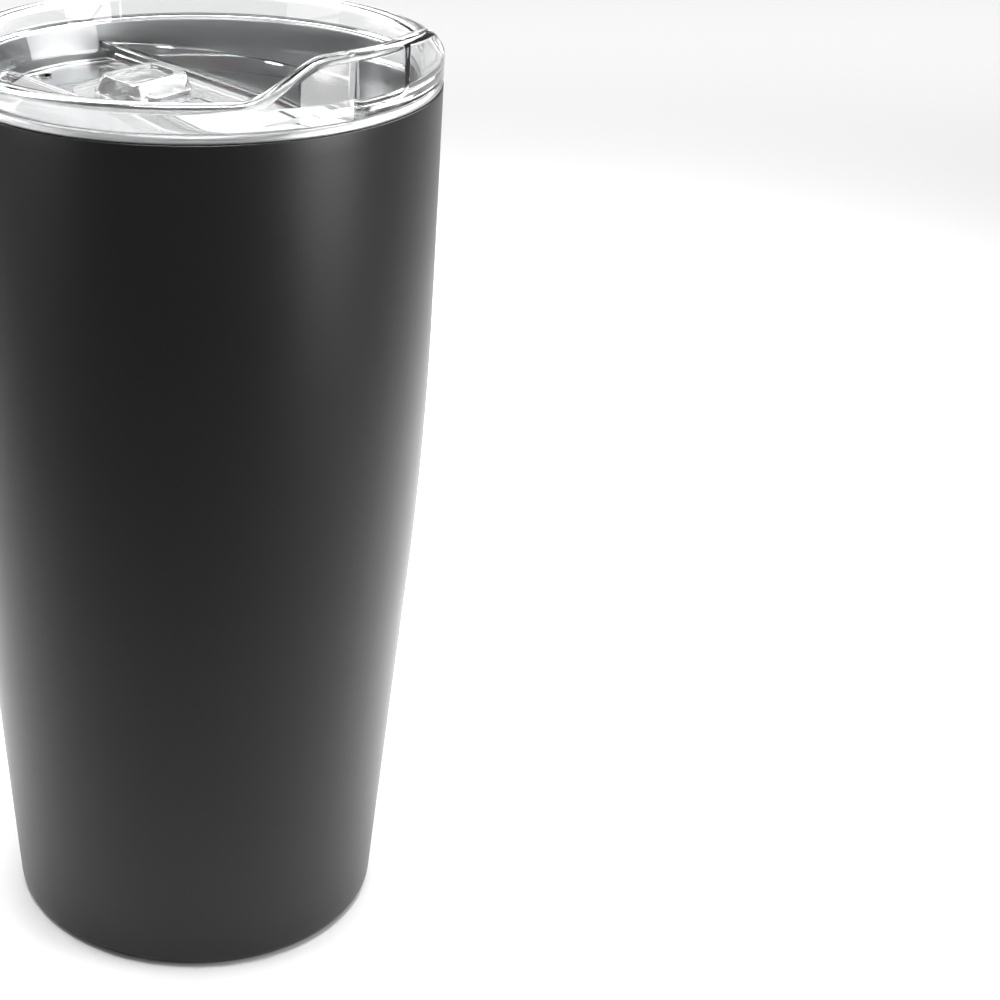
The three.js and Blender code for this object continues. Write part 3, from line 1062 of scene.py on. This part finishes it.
@dataclass
class CupWalls(SubAssembly):
    """The coated shell, the steel liner with its rolled lip, and the foil between them."""

    datum: Datum
    lathe: Lathe
    body: Body = Body.CUP
    foot_round: float = 2.5 * MM
    foot_ring: float = 3 * MM
    lip_inset: float = 0.1 * MM
    liner_round: float = 8 * MM
    lip_hook: float = 0.2 * MM
    edge_share: float = 0.45
    foil_thickness: float = 0.15 * MM
    foil_margin: float = 14 * MM
    segments: int = 320
    foil_segments: int = 256

    def shell(self, coat: Finish) -> bpy.types.Object:
        """Builds the coated shell, rolled in at the foot.

        Args:
            coat: Its finish.

        Returns:
            The piece.
        """
        d = self.datum
        wall = d.shell_wall
        edge = wall * self.edge_share
        corner = d.body(self.foot_round) - self.foot_round
        ring = corner - self.foot_ring
        heights = d.heights(self.foot_round, d.shell_top)
        outside = [(d.body(z), z, 0.0) for z in heights[:-1]]
        inside = [(d.body(z) - wall, z, 0.0) for z in reversed(heights[:-1])]
        outline = rounded([
            (ring, d.foot, edge),
            (d.body(0.0), d.foot, self.foot_round),
            *outside[1:],
            (d.top_radius, d.shell_top, edge),
            (d.top_radius - wall, d.shell_top, edge),
            *inside[:-1],
            (d.body(0.0) - wall, wall, self.foot_round - wall),
            (ring, wall, edge),
        ])
        piece = self.lathe.turn("shell_skin", outline, coat.material(), self.segments)
        return self.place(piece, "outer_shell", coat.slot)

    def liner(self, steel: Finish) -> bpy.types.Object:
        """Builds the drawn steel liner with the bright lip that closes the wall.

        Args:
            steel: Its finish.

        Returns:
            The piece.
        """
        d = self.datum
        wall = d.liner_wall
        edge = d.top_radius - self.lip_inset
        floor_round = d.liner_floor + self.liner_round
        heights = d.heights(floor_round, d.lip_bottom)[1:-1]
        lip = (d.lip_top - d.lip_bottom) / 2
        outline = rounded([
            (0.0, d.liner_floor, 0.0),
            (d.liner(d.liner_floor), d.liner_floor, self.liner_round),
            *[(d.liner(z), z, 0.0) for z in heights],
            (d.liner(d.lip_bottom), d.lip_bottom, self.lip_hook),
            (edge, d.lip_bottom, lip),
            (edge, d.lip_top, lip),
            (d.neck_radius, d.lip_top, lip),
            *[(d.liner(z) - wall, z, 0.0) for z in reversed(heights)],
            (d.liner(d.liner_floor) - wall, d.liner_floor + wall, self.liner_round - wall),
            (0.0, d.liner_floor + wall, 0.0),
        ], closed=False)
        piece = self.lathe.turn("steel_liner", outline, steel.material(), self.segments)
        return self.place(piece, "inner_liner", steel.slot)

    def foil(self, copper: Finish) -> bpy.types.Object:
        """Builds the foil round the liner.

        Args:
            copper: Its finish.

        Returns:
            The piece.
        """
        d = self.datum
        bottom = d.liner_floor + self.liner_round + self.foil_margin
        top = d.neck_bottom - d.neck_blend - self.foil_margin
        heights = d.heights(bottom, top)
        inside = [(d.liner(z) + d.fit, z) for z in heights]
        outside = [(r + self.foil_thickness, z) for r, z in inside]
        outline = [*outside, *reversed(inside)]
        piece = self.lathe.turn("foil_wrap", outline, copper.material(), self.foil_segments)
        return self.place(piece, "copper_wrap", copper.slot)


@dataclass
class BaseParts(SubAssembly):
    """What closes the vacuum under the liner: base, seal bead, getter and cover plate."""

    datum: Datum
    lathe: Lathe
    body: Body = Body.CUP
    wall: float = 0.6 * MM
    flange: float = 4 * MM
    flange_bend: float = 0.5 * MM
    flange_edge: float = 0.25 * MM
    port_radius: float = 0.8 * MM
    port_edge: float = 0.15 * MM
    dimple_radius: float = 5 * MM
    dimple_height: float = 1.4 * MM
    dimple_bend: float = 0.8 * MM
    dimple_foot_bend: float = 1.2 * MM
    bead_radius: float = 3.4 * MM
    bead_flat_share: float = 0.55
    bead_slack: float = 0.36 * MM
    bead_rounds: Triple = (1.2 * MM, 0.12 * MM, 0.3 * MM)
    getter_radius: float = 5 * MM
    getter_wall: float = 0.4 * MM
    getter_bend: float = 0.25 * MM
    getter_foot_bend: float = 0.5 * MM
    pellet_foot_edge: float = 0.15 * MM
    pellet_edge: float = 0.45 * MM
    cover_edge: float = 0.25 * MM
    cover_top_edge: float = 0.15 * MM
    rib_inset: float = 8 * MM
    rib_wall: float = 1.2 * MM
    rib_edge: float = 0.2 * MM
    rib_root: float = 0.3 * MM
    ring_shares: Triple = (0.30, 0.58, 0.86)
    ring_width: float = 1.6 * MM
    ring_depth: float = 0.18 * MM
    ring_bend: float = 0.2 * MM
    segments: int = 192
    small_segments: int = 96

    def _edge(self, z: float) -> float:
        """Inside of the shell that the base fits, at a height."""
        return self.datum.body(z) - self.datum.shell_wall - self.datum.fit

    def _ceiling(self, radius: float) -> float:
        """Top of the bead at a radius, a little under the dimple's slope."""
        across = (radius - self.port_radius) / (self.dimple_radius - self.port_radius)
        return self.datum.base_bottom + self.dimple_height * (1 - across) - self.bead_slack

    def base(self, steel: Finish) -> bpy.types.Object:
        """Builds the pressed base with its flange and its evacuation dimple.

        Args:
            steel: Its finish.

        Returns:
            The piece.
        """
        low = self.datum.base_bottom
        top = low + self.wall
        rim = low + self.flange
        edge = self._edge
        outline = rounded([
            (self.port_radius, low + self.dimple_height, self.port_edge),
            (self.dimple_radius, low, self.dimple_foot_bend),
            (edge(low), low, self.flange_bend + self.wall),
            (edge(rim), rim, self.flange_edge),
            (edge(rim) - self.wall, rim, self.flange_edge),
            (edge(top) - self.wall, top, self.flange_bend),
            (self.dimple_radius + self.wall / 2, top, self.dimple_bend),
            (self.port_radius, top + self.dimple_height, self.port_edge),
        ])
        piece = self.lathe.turn("pressed_base", outline, steel.material(), self.segments)
        return self.place(piece, "outer_base", steel.slot)

    def seal(self, solder: Finish) -> bpy.types.Object:
        """Builds the bead that closes the evacuation hole, set as it was melted in.

        Args:
            solder: Its finish.

        Returns:
            The piece.
        """
        edge = self._ceiling(self.bead_radius)
        top = self._ceiling(self.port_radius)
        bottom = edge - self.bead_slack
        foot_round, edge_round, top_round = self.bead_rounds
        outline = rounded([
            (0.0, bottom, 0.0),
            (self.bead_radius * self.bead_flat_share, bottom, foot_round),
            (self.bead_radius, edge, edge_round),
            (self.port_radius, top, top_round),
            (0.0, top, 0.0),
        ], closed=False)
        piece = self.lathe.turn("solder_bead", outline, solder.material(), self.small_segments)
        return self.place(piece, "vacuum_seal", solder.slot)

    def getter_cup(self, steel: Finish) -> bpy.types.Object:
        """Builds the small cup that holds the getter, with a rolled brim.

        Args:
            steel: Its finish.

        Returns:
            The piece.
        """
        bottom, top = self._getter_heights()
        inner = self.getter_radius - self.getter_wall
        outline = rounded([
            (0.0, bottom, 0.0),
            (self.getter_radius, bottom, self.getter_foot_bend),
            (self.getter_radius, top, self.getter_wall / 2),
            (inner, top, self.getter_wall / 2),
            (inner, bottom + self.getter_wall, self.getter_bend),
            (0.0, bottom + self.getter_wall, 0.0),
        ], closed=False)
        piece = self.lathe.turn("getter_cup", outline, steel.material(), self.small_segments)
        return self.place(self._beside_axis(piece), "getter_holder", steel.slot)

    def pellet(self, sinter: Finish) -> bpy.types.Object:
        """Builds the pressed getter pellet with its broken edge.

        Args:
            sinter: Its finish.

        Returns:
            The piece.
        """
        fit = self.datum.fit
        bottom, top = self._getter_heights()
        radius = self.getter_radius - self.getter_wall - fit
        outline = rounded([
            (0.0, bottom + self.getter_wall + fit, 0.0),
            (radius, bottom + self.getter_wall + fit, self.pellet_foot_edge),
            (radius, top - fit, self.pellet_edge),
            (0.0, top - fit, 0.0),
        ], closed=False)
        piece = self.lathe.turn("getter_disc", outline, sinter.material(), self.small_segments)
        return self.place(self._beside_axis(piece), "getter_pellet", sinter.slot)

    def cover(self, coat: Finish) -> bpy.types.Object:
        """Builds the cover plate under the foot, with shallow pressed rings.

        Args:
            coat: Its finish.

        Returns:
            The piece.
        """
        low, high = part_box("base_cover")
        edge = high.x
        top = low.z + self.wall
        rib = edge - self.rib_inset
        inner_rib = rib - self.rib_wall
        rings: list[Corner] = []
        for share in self.ring_shares:
            half = self.ring_width / 2
            dents = ((-half, 0.0), (-half / 2, self.ring_depth), (half / 2, self.ring_depth), (half, 0.0))
            rings += [(share * edge + out, low.z + rise, self.ring_bend) for out, rise in dents]
        outline = rounded([
            (0.0, low.z, 0.0),
            *rings,
            (edge, low.z, self.cover_edge),
            (edge, top, self.cover_top_edge),
            (rib, top, self.rib_root),
            (rib, high.z, self.rib_edge),
            (inner_rib, high.z, self.rib_edge),
            (inner_rib, top, self.rib_root),
            (0.0, top, 0.0),
        ], closed=False)
        piece = self.lathe.turn("foot_cover", outline, coat.material(), self.segments)
        return self.place(piece, "base_cover", coat.slot)

    def _getter_heights(self) -> Pair:
        """Lowest and highest level of the getter's cup."""
        low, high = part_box("getter_holder")
        return low.z, high.z

    def _beside_axis(self, piece: bpy.types.Object) -> bpy.types.Object:
        """Moves a turned piece's mesh to the getter's place on the base.

        Args:
            piece: The piece, turned about the cup's axis.

        Returns:
            The piece.
        """
        low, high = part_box("getter_holder")
        piece.data.transform(Matrix.Translation(((low.x + high.x) / 2, 0.0, 0.0)))
        return piece


# --------------------------------------------------------------------------- lid


@dataclass
class ClearLid(SubAssembly):
    """The clear plug lid: wall and rim, sunk track, spout with its pouring recess."""

    datum: Datum
    lathe: Lathe
    body: Body = Body.LID
    segments: int = 480
    plug_wall: float = 2.3 * MM
    plug_edge: float = 0.9 * MM
    plug_inner_edge: float = 0.5 * MM
    rim_rise: float = 5.1 * MM
    rim_width: float = 3.2 * MM
    seat_edge: float = 0.45 * MM
    seat_root: float = 0.35 * MM
    spout_half_angle: float = math.radians(16.5)
    spout_ramp_angle: float = math.radians(20.5)
    wave_above_seat: float = 0.5 * MM
    wave_below_seat: float = 0.8 * MM
    groove_depth: float = 1.2 * MM
    groove_height: float = 3.6 * MM
    groove_above_plug: float = 5.6 * MM
    groove_edge: float = 0.25 * MM
    groove_root: float = 0.3 * MM
    funnel_drop: float = 5.4 * MM
    funnel_bend: float = 5 * MM
    funnel_step: float = 0.36 * MM
    waist_inset: float = 0.8 * MM
    band_foot: float = 4 * MM
    band_slack: float = 0.05 * MM
    deck_drop: float = 5.8 * MM
    deck_slope: float = math.radians(4.6)
    deck_wall: float = 2 * MM
    wing_fall: float = 0.09
    wing_root: float = 0.8 * MM
    track_half_width: float = 13 * MM
    track_depth: float = 3.2 * MM
    track_edge: float = 0.45 * MM
    track_root: float = 0.35 * MM
    track_foot: float = 0.7 * MM
    rail_overhang: float = 1 * MM
    rail_height: float = 1.4 * MM
    rail_edge: float = 0.25 * MM
    opening_radius: float = 36.3 * MM
    opening_rear: float = 27 * MM
    opening_half_width: float = 8.5 * MM
    opening_corner: float = 2 * MM
    opening_edge: float = 0.55 * MM
    vent_radius: float = 1.1 * MM
    vent_inset: float = 3.6 * MM
    vent_aside: float = 3.3 * MM
    vent_edge: float = 0.35 * MM
    vent_steps: int = 40
    recess_depth: float = 0.9 * MM
    recess_half_angle: float = math.radians(9.6)
    recess_floor: float = 2.5 * MM
    recess_top_drop: float = 3.6 * MM
    recess_corner: float = 2.4 * MM
    recess_soft: float = 0.8 * MM

    @property
    def rim_top(self) -> float:
        """Top of the low rim."""
        return self.datum.rim_seat + self.rim_rise

    @property
    def rim_inner(self) -> float:
        """Inside radius of the rim."""
        return self.datum.top_radius - self.rim_width

    @property
    def round_height(self) -> float:
        """Level where the rim's full round begins."""
        return self.rim_top - self.rim_width / 2

    @property
    def spout_rise(self) -> float:
        """Raised lip above the low rim."""
        return self.datum.spout_top - self.rim_top

    @property
    def wall_inner(self) -> float:
        """Inside radius of the plug's wall."""
        return self.datum.plug_radius - self.plug_wall

    @property
    def tilt(self) -> Matrix:
        """Places what is drawn along the track in the tilted deck's frame."""
        turn = Matrix.Rotation(self.deck_slope, 4, "Y")
        return Matrix.Translation((0.0, 0.0, self.datum.lip_top - self.deck_drop)) @ turn

    def _on_inner_wall(self, point: Point) -> bool:
        """True for a point of the wall's outline that faces the axis above the deck."""
        low = self.datum.plug_bottom + self.band_foot
        high = self.round_height + 2 * self.band_slack
        return point[0] < self.rim_inner + self.band_slack and low < point[1] < high

    def _inner_share(self, point: Point) -> float:
        """Marks the points of the wall's outline that the recess may move."""
        return 1.0 if self._on_inner_wall(point) else 0.0

    def _lift_share(self, point: Point) -> float:
        """Works out how far a point of the wall's outline rises with the spout.

        Args:
            point: Radius and height of the point.

        Returns:
            Share of the spout's rise, from 0 at the seat to 1 at the rim.
        """
        d = self.datum
        outside = point[0] > d.top_radius - self.rim_width / 2
        if outside or point[0] < d.plug_radius - self.groove_depth / 2:
            start = d.rim_seat + (self.wave_above_seat if outside else -self.wave_below_seat)
            return min(max((point[1] - start) / (self.round_height - start), 0.0), 1.0)
        return 1.0 if point[1] > self.round_height else 0.0

    def _wall(self, material: bpy.types.Material) -> bpy.types.Object:
        """Turns the wall with its gasket groove, and the full-round rim with its wave.

        Args:
            material: The lid's material.

        Returns:
            The wall.
        """
        d = self.datum
        groove = d.plug_bottom + self.groove_above_plug
        groove_top = groove + self.groove_height
        groove_inner = d.plug_radius - self.groove_depth
        outline = rounded([
            (self.wall_inner, d.plug_bottom, self.plug_inner_edge),
            (d.plug_radius, d.plug_bottom, self.plug_edge),
            (d.plug_radius, groove, self.groove_edge),
            (groove_inner, groove, self.groove_root),
            (groove_inner, groove_top, self.groove_root),
            (d.plug_radius, groove_top, self.groove_edge),
            (d.plug_radius, d.rim_seat, self.seat_root),
            (d.top_radius, d.rim_seat, self.seat_edge),
            (d.top_radius, self.rim_top, self.rim_width / 2),
            (self.rim_inner, self.rim_top, self.rim_width / 2),
            (self.rim_inner - self.waist_inset, d.rim_seat, self.funnel_bend),
            (self.wall_inner, d.rim_seat - self.funnel_drop, self.funnel_bend),
        ])
        outline = divided(outline, self.funnel_step, self._on_inner_wall)
        spout = (self.spout_rise, self.spout_half_angle, self.spout_ramp_angle)
        shares = (self._lift_share, self._inner_share)
        return self.lathe.turn("lid_wall", outline, material, self.segments, *shares, spout)

    def _deck(self) -> bpy.types.Object:
        """Extrudes the deck's cross-section along the track and trims it inside the wall.

        Returns:
            The deck.
        """
        d = self.datum
        reach = d.plug_radius
        fall = self.wing_fall * (reach - self.track_half_width)
        rail_foot = self.track_half_width + self.rail_overhang
        side = rail_foot + self.deck_wall
        side_fall = self.wing_fall * (side - self.track_half_width)
        half = [
            (rail_foot, -self.track_depth, self.track_root),
            (rail_foot, -self.rail_height, self.rail_edge),
            (self.track_half_width, -self.rail_height, self.rail_edge),
            (self.track_half_width, 0.0, self.track_edge),
            (reach, -fall, 0.0),
            (reach, -fall - self.deck_wall, 0.0),
            (side, -self.deck_wall - side_fall, self.wing_root),
            (side, -self.track_depth - self.deck_wall, self.track_foot),
        ]
        section = rounded([*half, *[(-v, z, size) for v, z, size in reversed(half)]])
        end = d.top_radius
        bm = bmesh.new()
        ends = [[bm.verts.new((u, v, z)) for v, z in section] for u in (-end, end)]
        for i in range(len(section)):
            j = (i + 1) % len(section)
            bm.faces.new((ends[0][i], ends[0][j], ends[1][j], ends[1][i]))
        bm.faces.new(list(reversed(ends[0])))
        bm.faces.new(ends[1])
        bmesh.ops.recalc_face_normals(bm, faces=bm.faces)
        bm.transform(self.tilt)
        deck = mesh_object("deck", bm)
        middle = (d.plug_radius + self.wall_inner) / 2
        circle = circle_outline(middle, self.segments, phase=0.5)
        core = mesh_object("core", stacked(circle, [(d.plug_bottom, 0.0), (self.rim_top, 0.0)]))
        return combine(deck, core, Join.KEEP)

    def _sink_recess(self, wall: bpy.types.Object) -> None:
        """Sinks the pouring recess, round at its lower corners, into the wall inside the spout.

        Args:
            wall: The turned wall, which is changed.
        """
        floor = self.datum.lip_top + self.recess_floor
        top = self.rim_top + self.spout_rise - self.recess_top_drop
        corner = self.recess_corner
        half = self.recess_half_angle * self.wall_inner
        marks = wall.data.attributes["inner"].data
        for vertex, mark in zip(wall.data.vertices, marks):
            if mark.value < 0.5:
                continue
            x, y, z = vertex.co
            radius, angle = math.hypot(x, y), math.atan2(y, x)
            aside = abs(angle) * self.wall_inner - half + corner
            below = max(floor - z, z - top) + corner
            past_corner = aside > 0 and below > 0
            outside = (math.hypot(aside, below) if past_corner else max(aside, below)) - corner
            placed = radius + self.recess_depth * smooth(0.5 - outside / self.recess_soft)
            vertex.co.x = x * placed / radius
            vertex.co.y = y * placed / radius

    def _openings(self) -> list[bpy.types.Object]:
        """Makes the cutters of the drinking opening and of the air hole.

        Returns:
            The cutters.
        """
        top = -self.track_depth
        bottom = top - self.deck_wall
        corner = self.opening_corner
        mouth = sector_outline(self.opening_radius, self.opening_half_width, self.opening_rear, corner)
        place = (self.vent_inset - self.wall_inner, -self.vent_aside)
        air = circle_outline(self.vent_radius, self.vent_steps, place)
        cutters = []
        for name, outline, edge in (("mouth", mouth, self.opening_edge), ("air", air, self.vent_edge)):
            bm = stacked(outline, flared_levels(bottom, top, edge))
            bm.transform(self.tilt)
            cutters.append(mesh_object(name, bm))
        return cutters

    def build(self, plastic: Finish) -> bpy.types.Object:
        """Builds the whole lid as one moulded piece.

        Args:
            plastic: Its finish.

        Returns:
            The piece.
        """
        material = plastic.material()
        wall = self._wall(material)
        self._sink_recess(wall)
        combine(wall, self._deck(), Join.ADD)
        for cutter in self._openings():
            combine(wall, cutter, Join.CUT)
        return self.place(moulded(wall, "clear_lid", material), "lid_body", plastic.slot)


@dataclass
class Gasket(SubAssembly):
    """The silicone ring in the plug's groove."""

    lid: ClearLid
    body: Body = Body.LID
    soft: float = 0.16 * MM
    segments: int = 256

    def build(self, silicone: Finish) -> bpy.types.Object:
        """Builds the ring with its two sealing fins.

        Args:
            silicone: Its finish.

        Returns:
            The piece.
        """
        low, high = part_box("lid_gasket")
        d = self.lid.datum
        inner = d.plug_radius - self.lid.groove_depth + d.fit
        tip = high.x
        web = (inner + tip) / 2 + d.fit / 2
        fin = (high.z - low.z) / 4
        radii = (inner, web, tip, web, tip, web, inner)
        heights = (low.z, low.z, low.z + fin, low.z + 2 * fin, low.z + 3 * fin, high.z, high.z)
        outline = rounded([(r, z, self.soft) for r, z in zip(radii, heights)])
        piece = self.lid.lathe.turn("silicone_ring", outline, silicone.material(), self.segments)
        return self.place(piece, "lid_gasket", silicone.slot)


@dataclass
class SlideClosure(SubAssembly):
    """The clear slide: runners, plate, bevelled thumb grip and its hollow."""

    lid: ClearLid
    body: Body = Body.SLIDE
    length: float = 59.6 * MM
    front_gap: float = 1.3 * MM
    corner: float = 6 * MM
    runner_edge: float = 0.3 * MM
    plate_rise: float = 1 * MM
    plate_root: float = 0.1 * MM
    plate_edge: float = 0.35 * MM
    grip_inset: float = 9.5 * MM
    grip_length: float = 9 * MM
    grip_width: float = 14.6 * MM
    grip_flare: float = 1.6 * MM
    grip_rise: float = 2.3 * MM
    grip_corner: float = 2 * MM
    grip_edge: float = 0.45 * MM
    grip_cove: float = 0.5 * MM
    grip_lean: float = 0.15 * MM
    thumb_length: float = 6 * MM
    thumb_width: float = 10.6 * MM
    thumb_depth: float = 0.9 * MM
    thumb_edge: float = 0.35 * MM
    step_length: float = 3.2 * MM
    step_width: float = 9.6 * MM
    step_rise: float = 0.5 * MM
    step_corner: float = 1 * MM
    panel_width: float = 9.2 * MM
    panel_setback: float = 10 * MM
    panel_depth: float = 0.3 * MM

    @staticmethod
    def _block(place: float, length: float, width: float, corner: float) -> list[Point]:
        """A rounded rectangle across the track.

        Args:
            place: Place of its middle along the track.
            length: Its length along the track.
            width: Its width across the track.
            corner: Rounding of its corners.

        Returns:
            Points of the outline in [along, across], anticlockwise.
        """
        x, y = length / 2, width / 2
        corners = [(place + x, -y), (place + x, y), (place - x, y), (place - x, -y)]
        return rounded([(u, v, corner) for u, v in corners])

    def _grip_levels(self, plate_top: float) -> list[Point]:
        """Levels of the grip: a coved foot, sloping sides and a rounded top edge.

        Args:
            plate_top: Top of the plate that the grip stands on.

        Returns:
            Height and offset of each level for stacked().
        """
        flare, cove, lean = self.grip_flare, self.grip_cove, self.grip_lean
        slope_top = self.grip_rise - self.grip_edge
        foot = [
            (plate_top - cove, flare),
            (plate_top, flare - cove / 4),
            (plate_top + cove / 4, flare - 0.6 * cove),
            (plate_top + cove, flare - cove),
        ]
        drawn_in = 1 + lean / self.grip_edge
        top = [(slope_top + rise, lean - run * drawn_in) for rise, run in quarter_round(self.grip_edge)]
        return [*foot, *top]

    def build(self, plastic: Finish) -> bpy.types.Object:
        """Builds the slide in the tilted deck's frame and tilts it into place.

        Args:
            plastic: Its finish.

        Returns:
            The piece.
        """
        lid = self.lid
        fit = lid.datum.fit
        front = lid.wall_inner - self.front_gap
        rear = front - self.length
        foot = -lid.track_depth + fit
        runner_top = -lid.rail_height - fit
        plate_top = runner_top + self.plate_rise
        reach = lid.track_half_width - fit
        runner = sector_outline(front, reach + lid.rail_overhang, rear, self.corner)
        plate = sector_outline(front, reach, rear, self.corner)
        middle = rear + self.grip_inset
        grip = self._block(middle, self.grip_length, self.grip_width, self.grip_corner)
        thumb = self._block(middle, self.thumb_length, self.thumb_width, self.grip_corner / 2)
        step_place = middle + self.grip_length / 2 + self.grip_flare
        step = self._block(step_place, self.step_length, self.step_width, self.step_corner)
        ends = (step_place + self.step_length, front - self.panel_setback)
        panel = self._block(sum(ends) / 2, ends[1] - ends[0], self.panel_width, self.step_corner)
        root, edge = self.plate_root, self.plate_edge
        thumb_floor = self.grip_rise - self.thumb_depth
        panel_floor = plate_top - self.panel_depth
        slide = mesh_object(
            "slide", stacked(runner, round_levels(foot, runner_top, self.runner_edge, self.runner_edge))
        )
        changes = [
            (Join.ADD, plate, round_levels(foot + fit, plate_top, root, edge)),
            (Join.ADD, grip, self._grip_levels(plate_top)),
            (Join.ADD, step, round_levels(runner_top, self.step_rise, root, edge)),
            (Join.CUT, thumb, hollow_levels(thumb_floor, self.grip_rise, self.thumb_edge)),
            (Join.CUT, panel, hollow_levels(panel_floor, plate_top, self.panel_depth / 2)),
        ]
        for join, outline, levels in changes:
            combine(slide, mesh_object("change", stacked(outline, levels)), join)
        slide.data.transform(lid.tilt)
        piece = moulded(slide, "clear_slide", plastic.material())
        return self.place(piece, "slide_tab", plastic.slot)


# ------------------------------------------------------------------------- studio


@dataclass(frozen=True)
class SoftBox:
    """A soft rectangular light, placed by distances towards the camera, to the right and up."""

    name: str
    place: Triple
    aim: Triple
    size: Pair
    power: float
    spread: float


SHOULDER = (0.0, 0.0, 0.17)
CROWN = (0.0, 0.0, 0.18)
SOFT_BOXES = (
    SoftBox("pool_box", (0.02, 0.0, 0.85), (-0.17, 0.0, 0.0), (0.5, 0.24), 3.4, 42.0),
    SoftBox("back_box", (-0.8, 0.0, 0.9), (-0.75, 0.0, 0.0), (3.2, 0.5), 20.0, 110.0),
    SoftBox("right_box", (0.2142, 0.3612, 0.17), SHOULDER, (0.2, 0.22), 0.6, 120.0),
    SoftBox("left_box", (0.148, -0.372, 0.17), SHOULDER, (0.24, 0.18), 0.13, 120.0),
    SoftBox("front_box", (1.5, 0.0, 1.3), (1.5, 0.0, 0.0), (2.4, 0.6), 3.0, 110.0),
    SoftBox("crown_right", (-0.3, 0.45, 0.52), CROWN, (0.3, 0.22), 0.6, 90.0),
    SoftBox("band_box", (0.1, 0.49, 0.34), CROWN, (0.42, 0.24), 0.6, 70.0),
    SoftBox("crown_left", (-0.3, -0.45, 0.52), CROWN, (0.3, 0.22), 0.6, 90.0),
    SoftBox("crown_back", (-0.55, 0.0, 0.5), CROWN, (0.4, 0.2), 0.2, 90.0),
)


@dataclass
class Studio:
    """The pale floor, the soft lights, the grey-white world and the camera."""

    camera_place: Triple = (0.25032, -0.26541, 0.26070)
    camera_pitch: float = math.radians(64.296)
    camera_turn: float = math.radians(43.0)
    lens: float = 74.285
    shift: float = 0.2952
    floor_size: float = 4.0
    floor_tone: float = 0.42
    floor_roughness: float = 0.8
    world_strength: float = 0.32

    def _floor(self) -> None:
        """Lays the pale floor."""
        bm = bmesh.new()
        bmesh.ops.create_grid(bm, x_segments=2, y_segments=2, size=self.floor_size)
        floor = mesh_object("floor", bm)
        material = bpy.data.materials.new("pale_floor")
        material.use_nodes = True
        material.node_tree.nodes.clear()
        g = Graph(material.node_tree)
        tone = (self.floor_tone, self.floor_tone, self.floor_tone, 1.0)
        inputs = {"Base Color": tone, "Roughness": self.floor_roughness}
        shader = g.add("ShaderNodeBsdfPrincipled", inputs)
        g.add("ShaderNodeOutputMaterial", {0: shader.outputs[0]})
        floor.data.materials.append(material)

    def _at(self, offsets: Triple) -> Vector:
        """Turns distances towards the camera, to the right and up into a place.

        Args:
            offsets: The three distances.

        Returns:
            The place.
        """
        c, s = math.cos(self.camera_turn), math.sin(self.camera_turn)
        towards, right, up = offsets
        return Vector((s * towards + c * right, s * right - c * towards, up))

    def _hang(self, box: SoftBox) -> None:
        """Hangs a soft light, which the camera doesn't see.

        Args:
            box: The light.
        """
        data = bpy.data.lights.new(box.name, "AREA")
        data.shape = "RECTANGLE"
        data.size, data.size_y = box.size
        data.energy = box.power
        data.spread = math.radians(box.spread)
        lamp = bpy.data.objects.new(box.name, data)
        lamp.location = self._at(box.place)
        lamp.visible_camera = False
        way = self._at(box.aim) - self._at(box.place)
        lamp.rotation_euler = way.to_track_quat("-Z", "Y").to_euler()
        bpy.context.scene.collection.objects.link(lamp)

    def build(self) -> None:
        """Sets up the floor, the lights, the world and the camera."""
        self._floor()
        for box in SOFT_BOXES:
            self._hang(box)
        scene = bpy.context.scene
        world = bpy.data.worlds.new("studio")
        world.use_nodes = True
        sky = world.node_tree.nodes["Background"]
        sky.inputs["Color"].default_value = (1.0, 1.0, 1.0, 1.0)
        sky.inputs["Strength"].default_value = self.world_strength
        scene.world = world
        scene.view_settings.view_transform = "Standard"
        data = bpy.data.cameras.new("camera")
        data.lens = self.lens
        data.shift_x = self.shift
        camera = bpy.data.objects.new("camera", data)
        camera.location = self.camera_place
        camera.rotation_euler = (self.camera_pitch, 0.0, self.camera_turn)
        scene.collection.objects.link(camera)
        scene.camera = camera


# --------------------------------------------------------------------------- main


def main() -> None:
    """Builds the sub-assemblies in order around the frame."""
    logging.basicConfig(level=logging.INFO, format="%(message)s")
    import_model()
    datum = Datum.read()
    lathe = Lathe()
    walls = CupWalls(datum, lathe)
    walls.shell(PowderCoat())
    walls.liner(Steel(lip_from=datum.lip_bottom))
    walls.foil(CopperFoil())
    base = BaseParts(datum, lathe)
    pressed = Steel(name="pressed_steel", slot="base_steel", roughness=0.3)
    base.base(pressed)
    base.seal(DullMetal(name="solder"))
    base.getter_cup(pressed)
    base.pellet(
        DullMetal(
            name="sintered_getter",
            slot="getter",
            dark=(0.12, 0.12, 0.125),
            light=(0.24, 0.24, 0.25),
            roughness=0.72,
            metallic=0.7,
            grain_scale=3600.0,
            relief=0.6,
        )
    )
    base.cover(PowderCoat(name="cover_powder_coat", slot="cover_coat", roughness=0.5))
    lid = ClearLid(datum, lathe)
    lid.build(ClearPlastic())
    Gasket(lid).build(Silicone())
    SlideClosure(lid).build(
        ClearPlastic(
            name="slide_plastic",
            slot="slide_plastic",
            tint=(0.95, 0.955, 0.957),
            roughness=0.07,
            haze=0.12,
            clear=0.965,
        )
    )
    Studio().build()


if __name__ == "__main__":
    main()
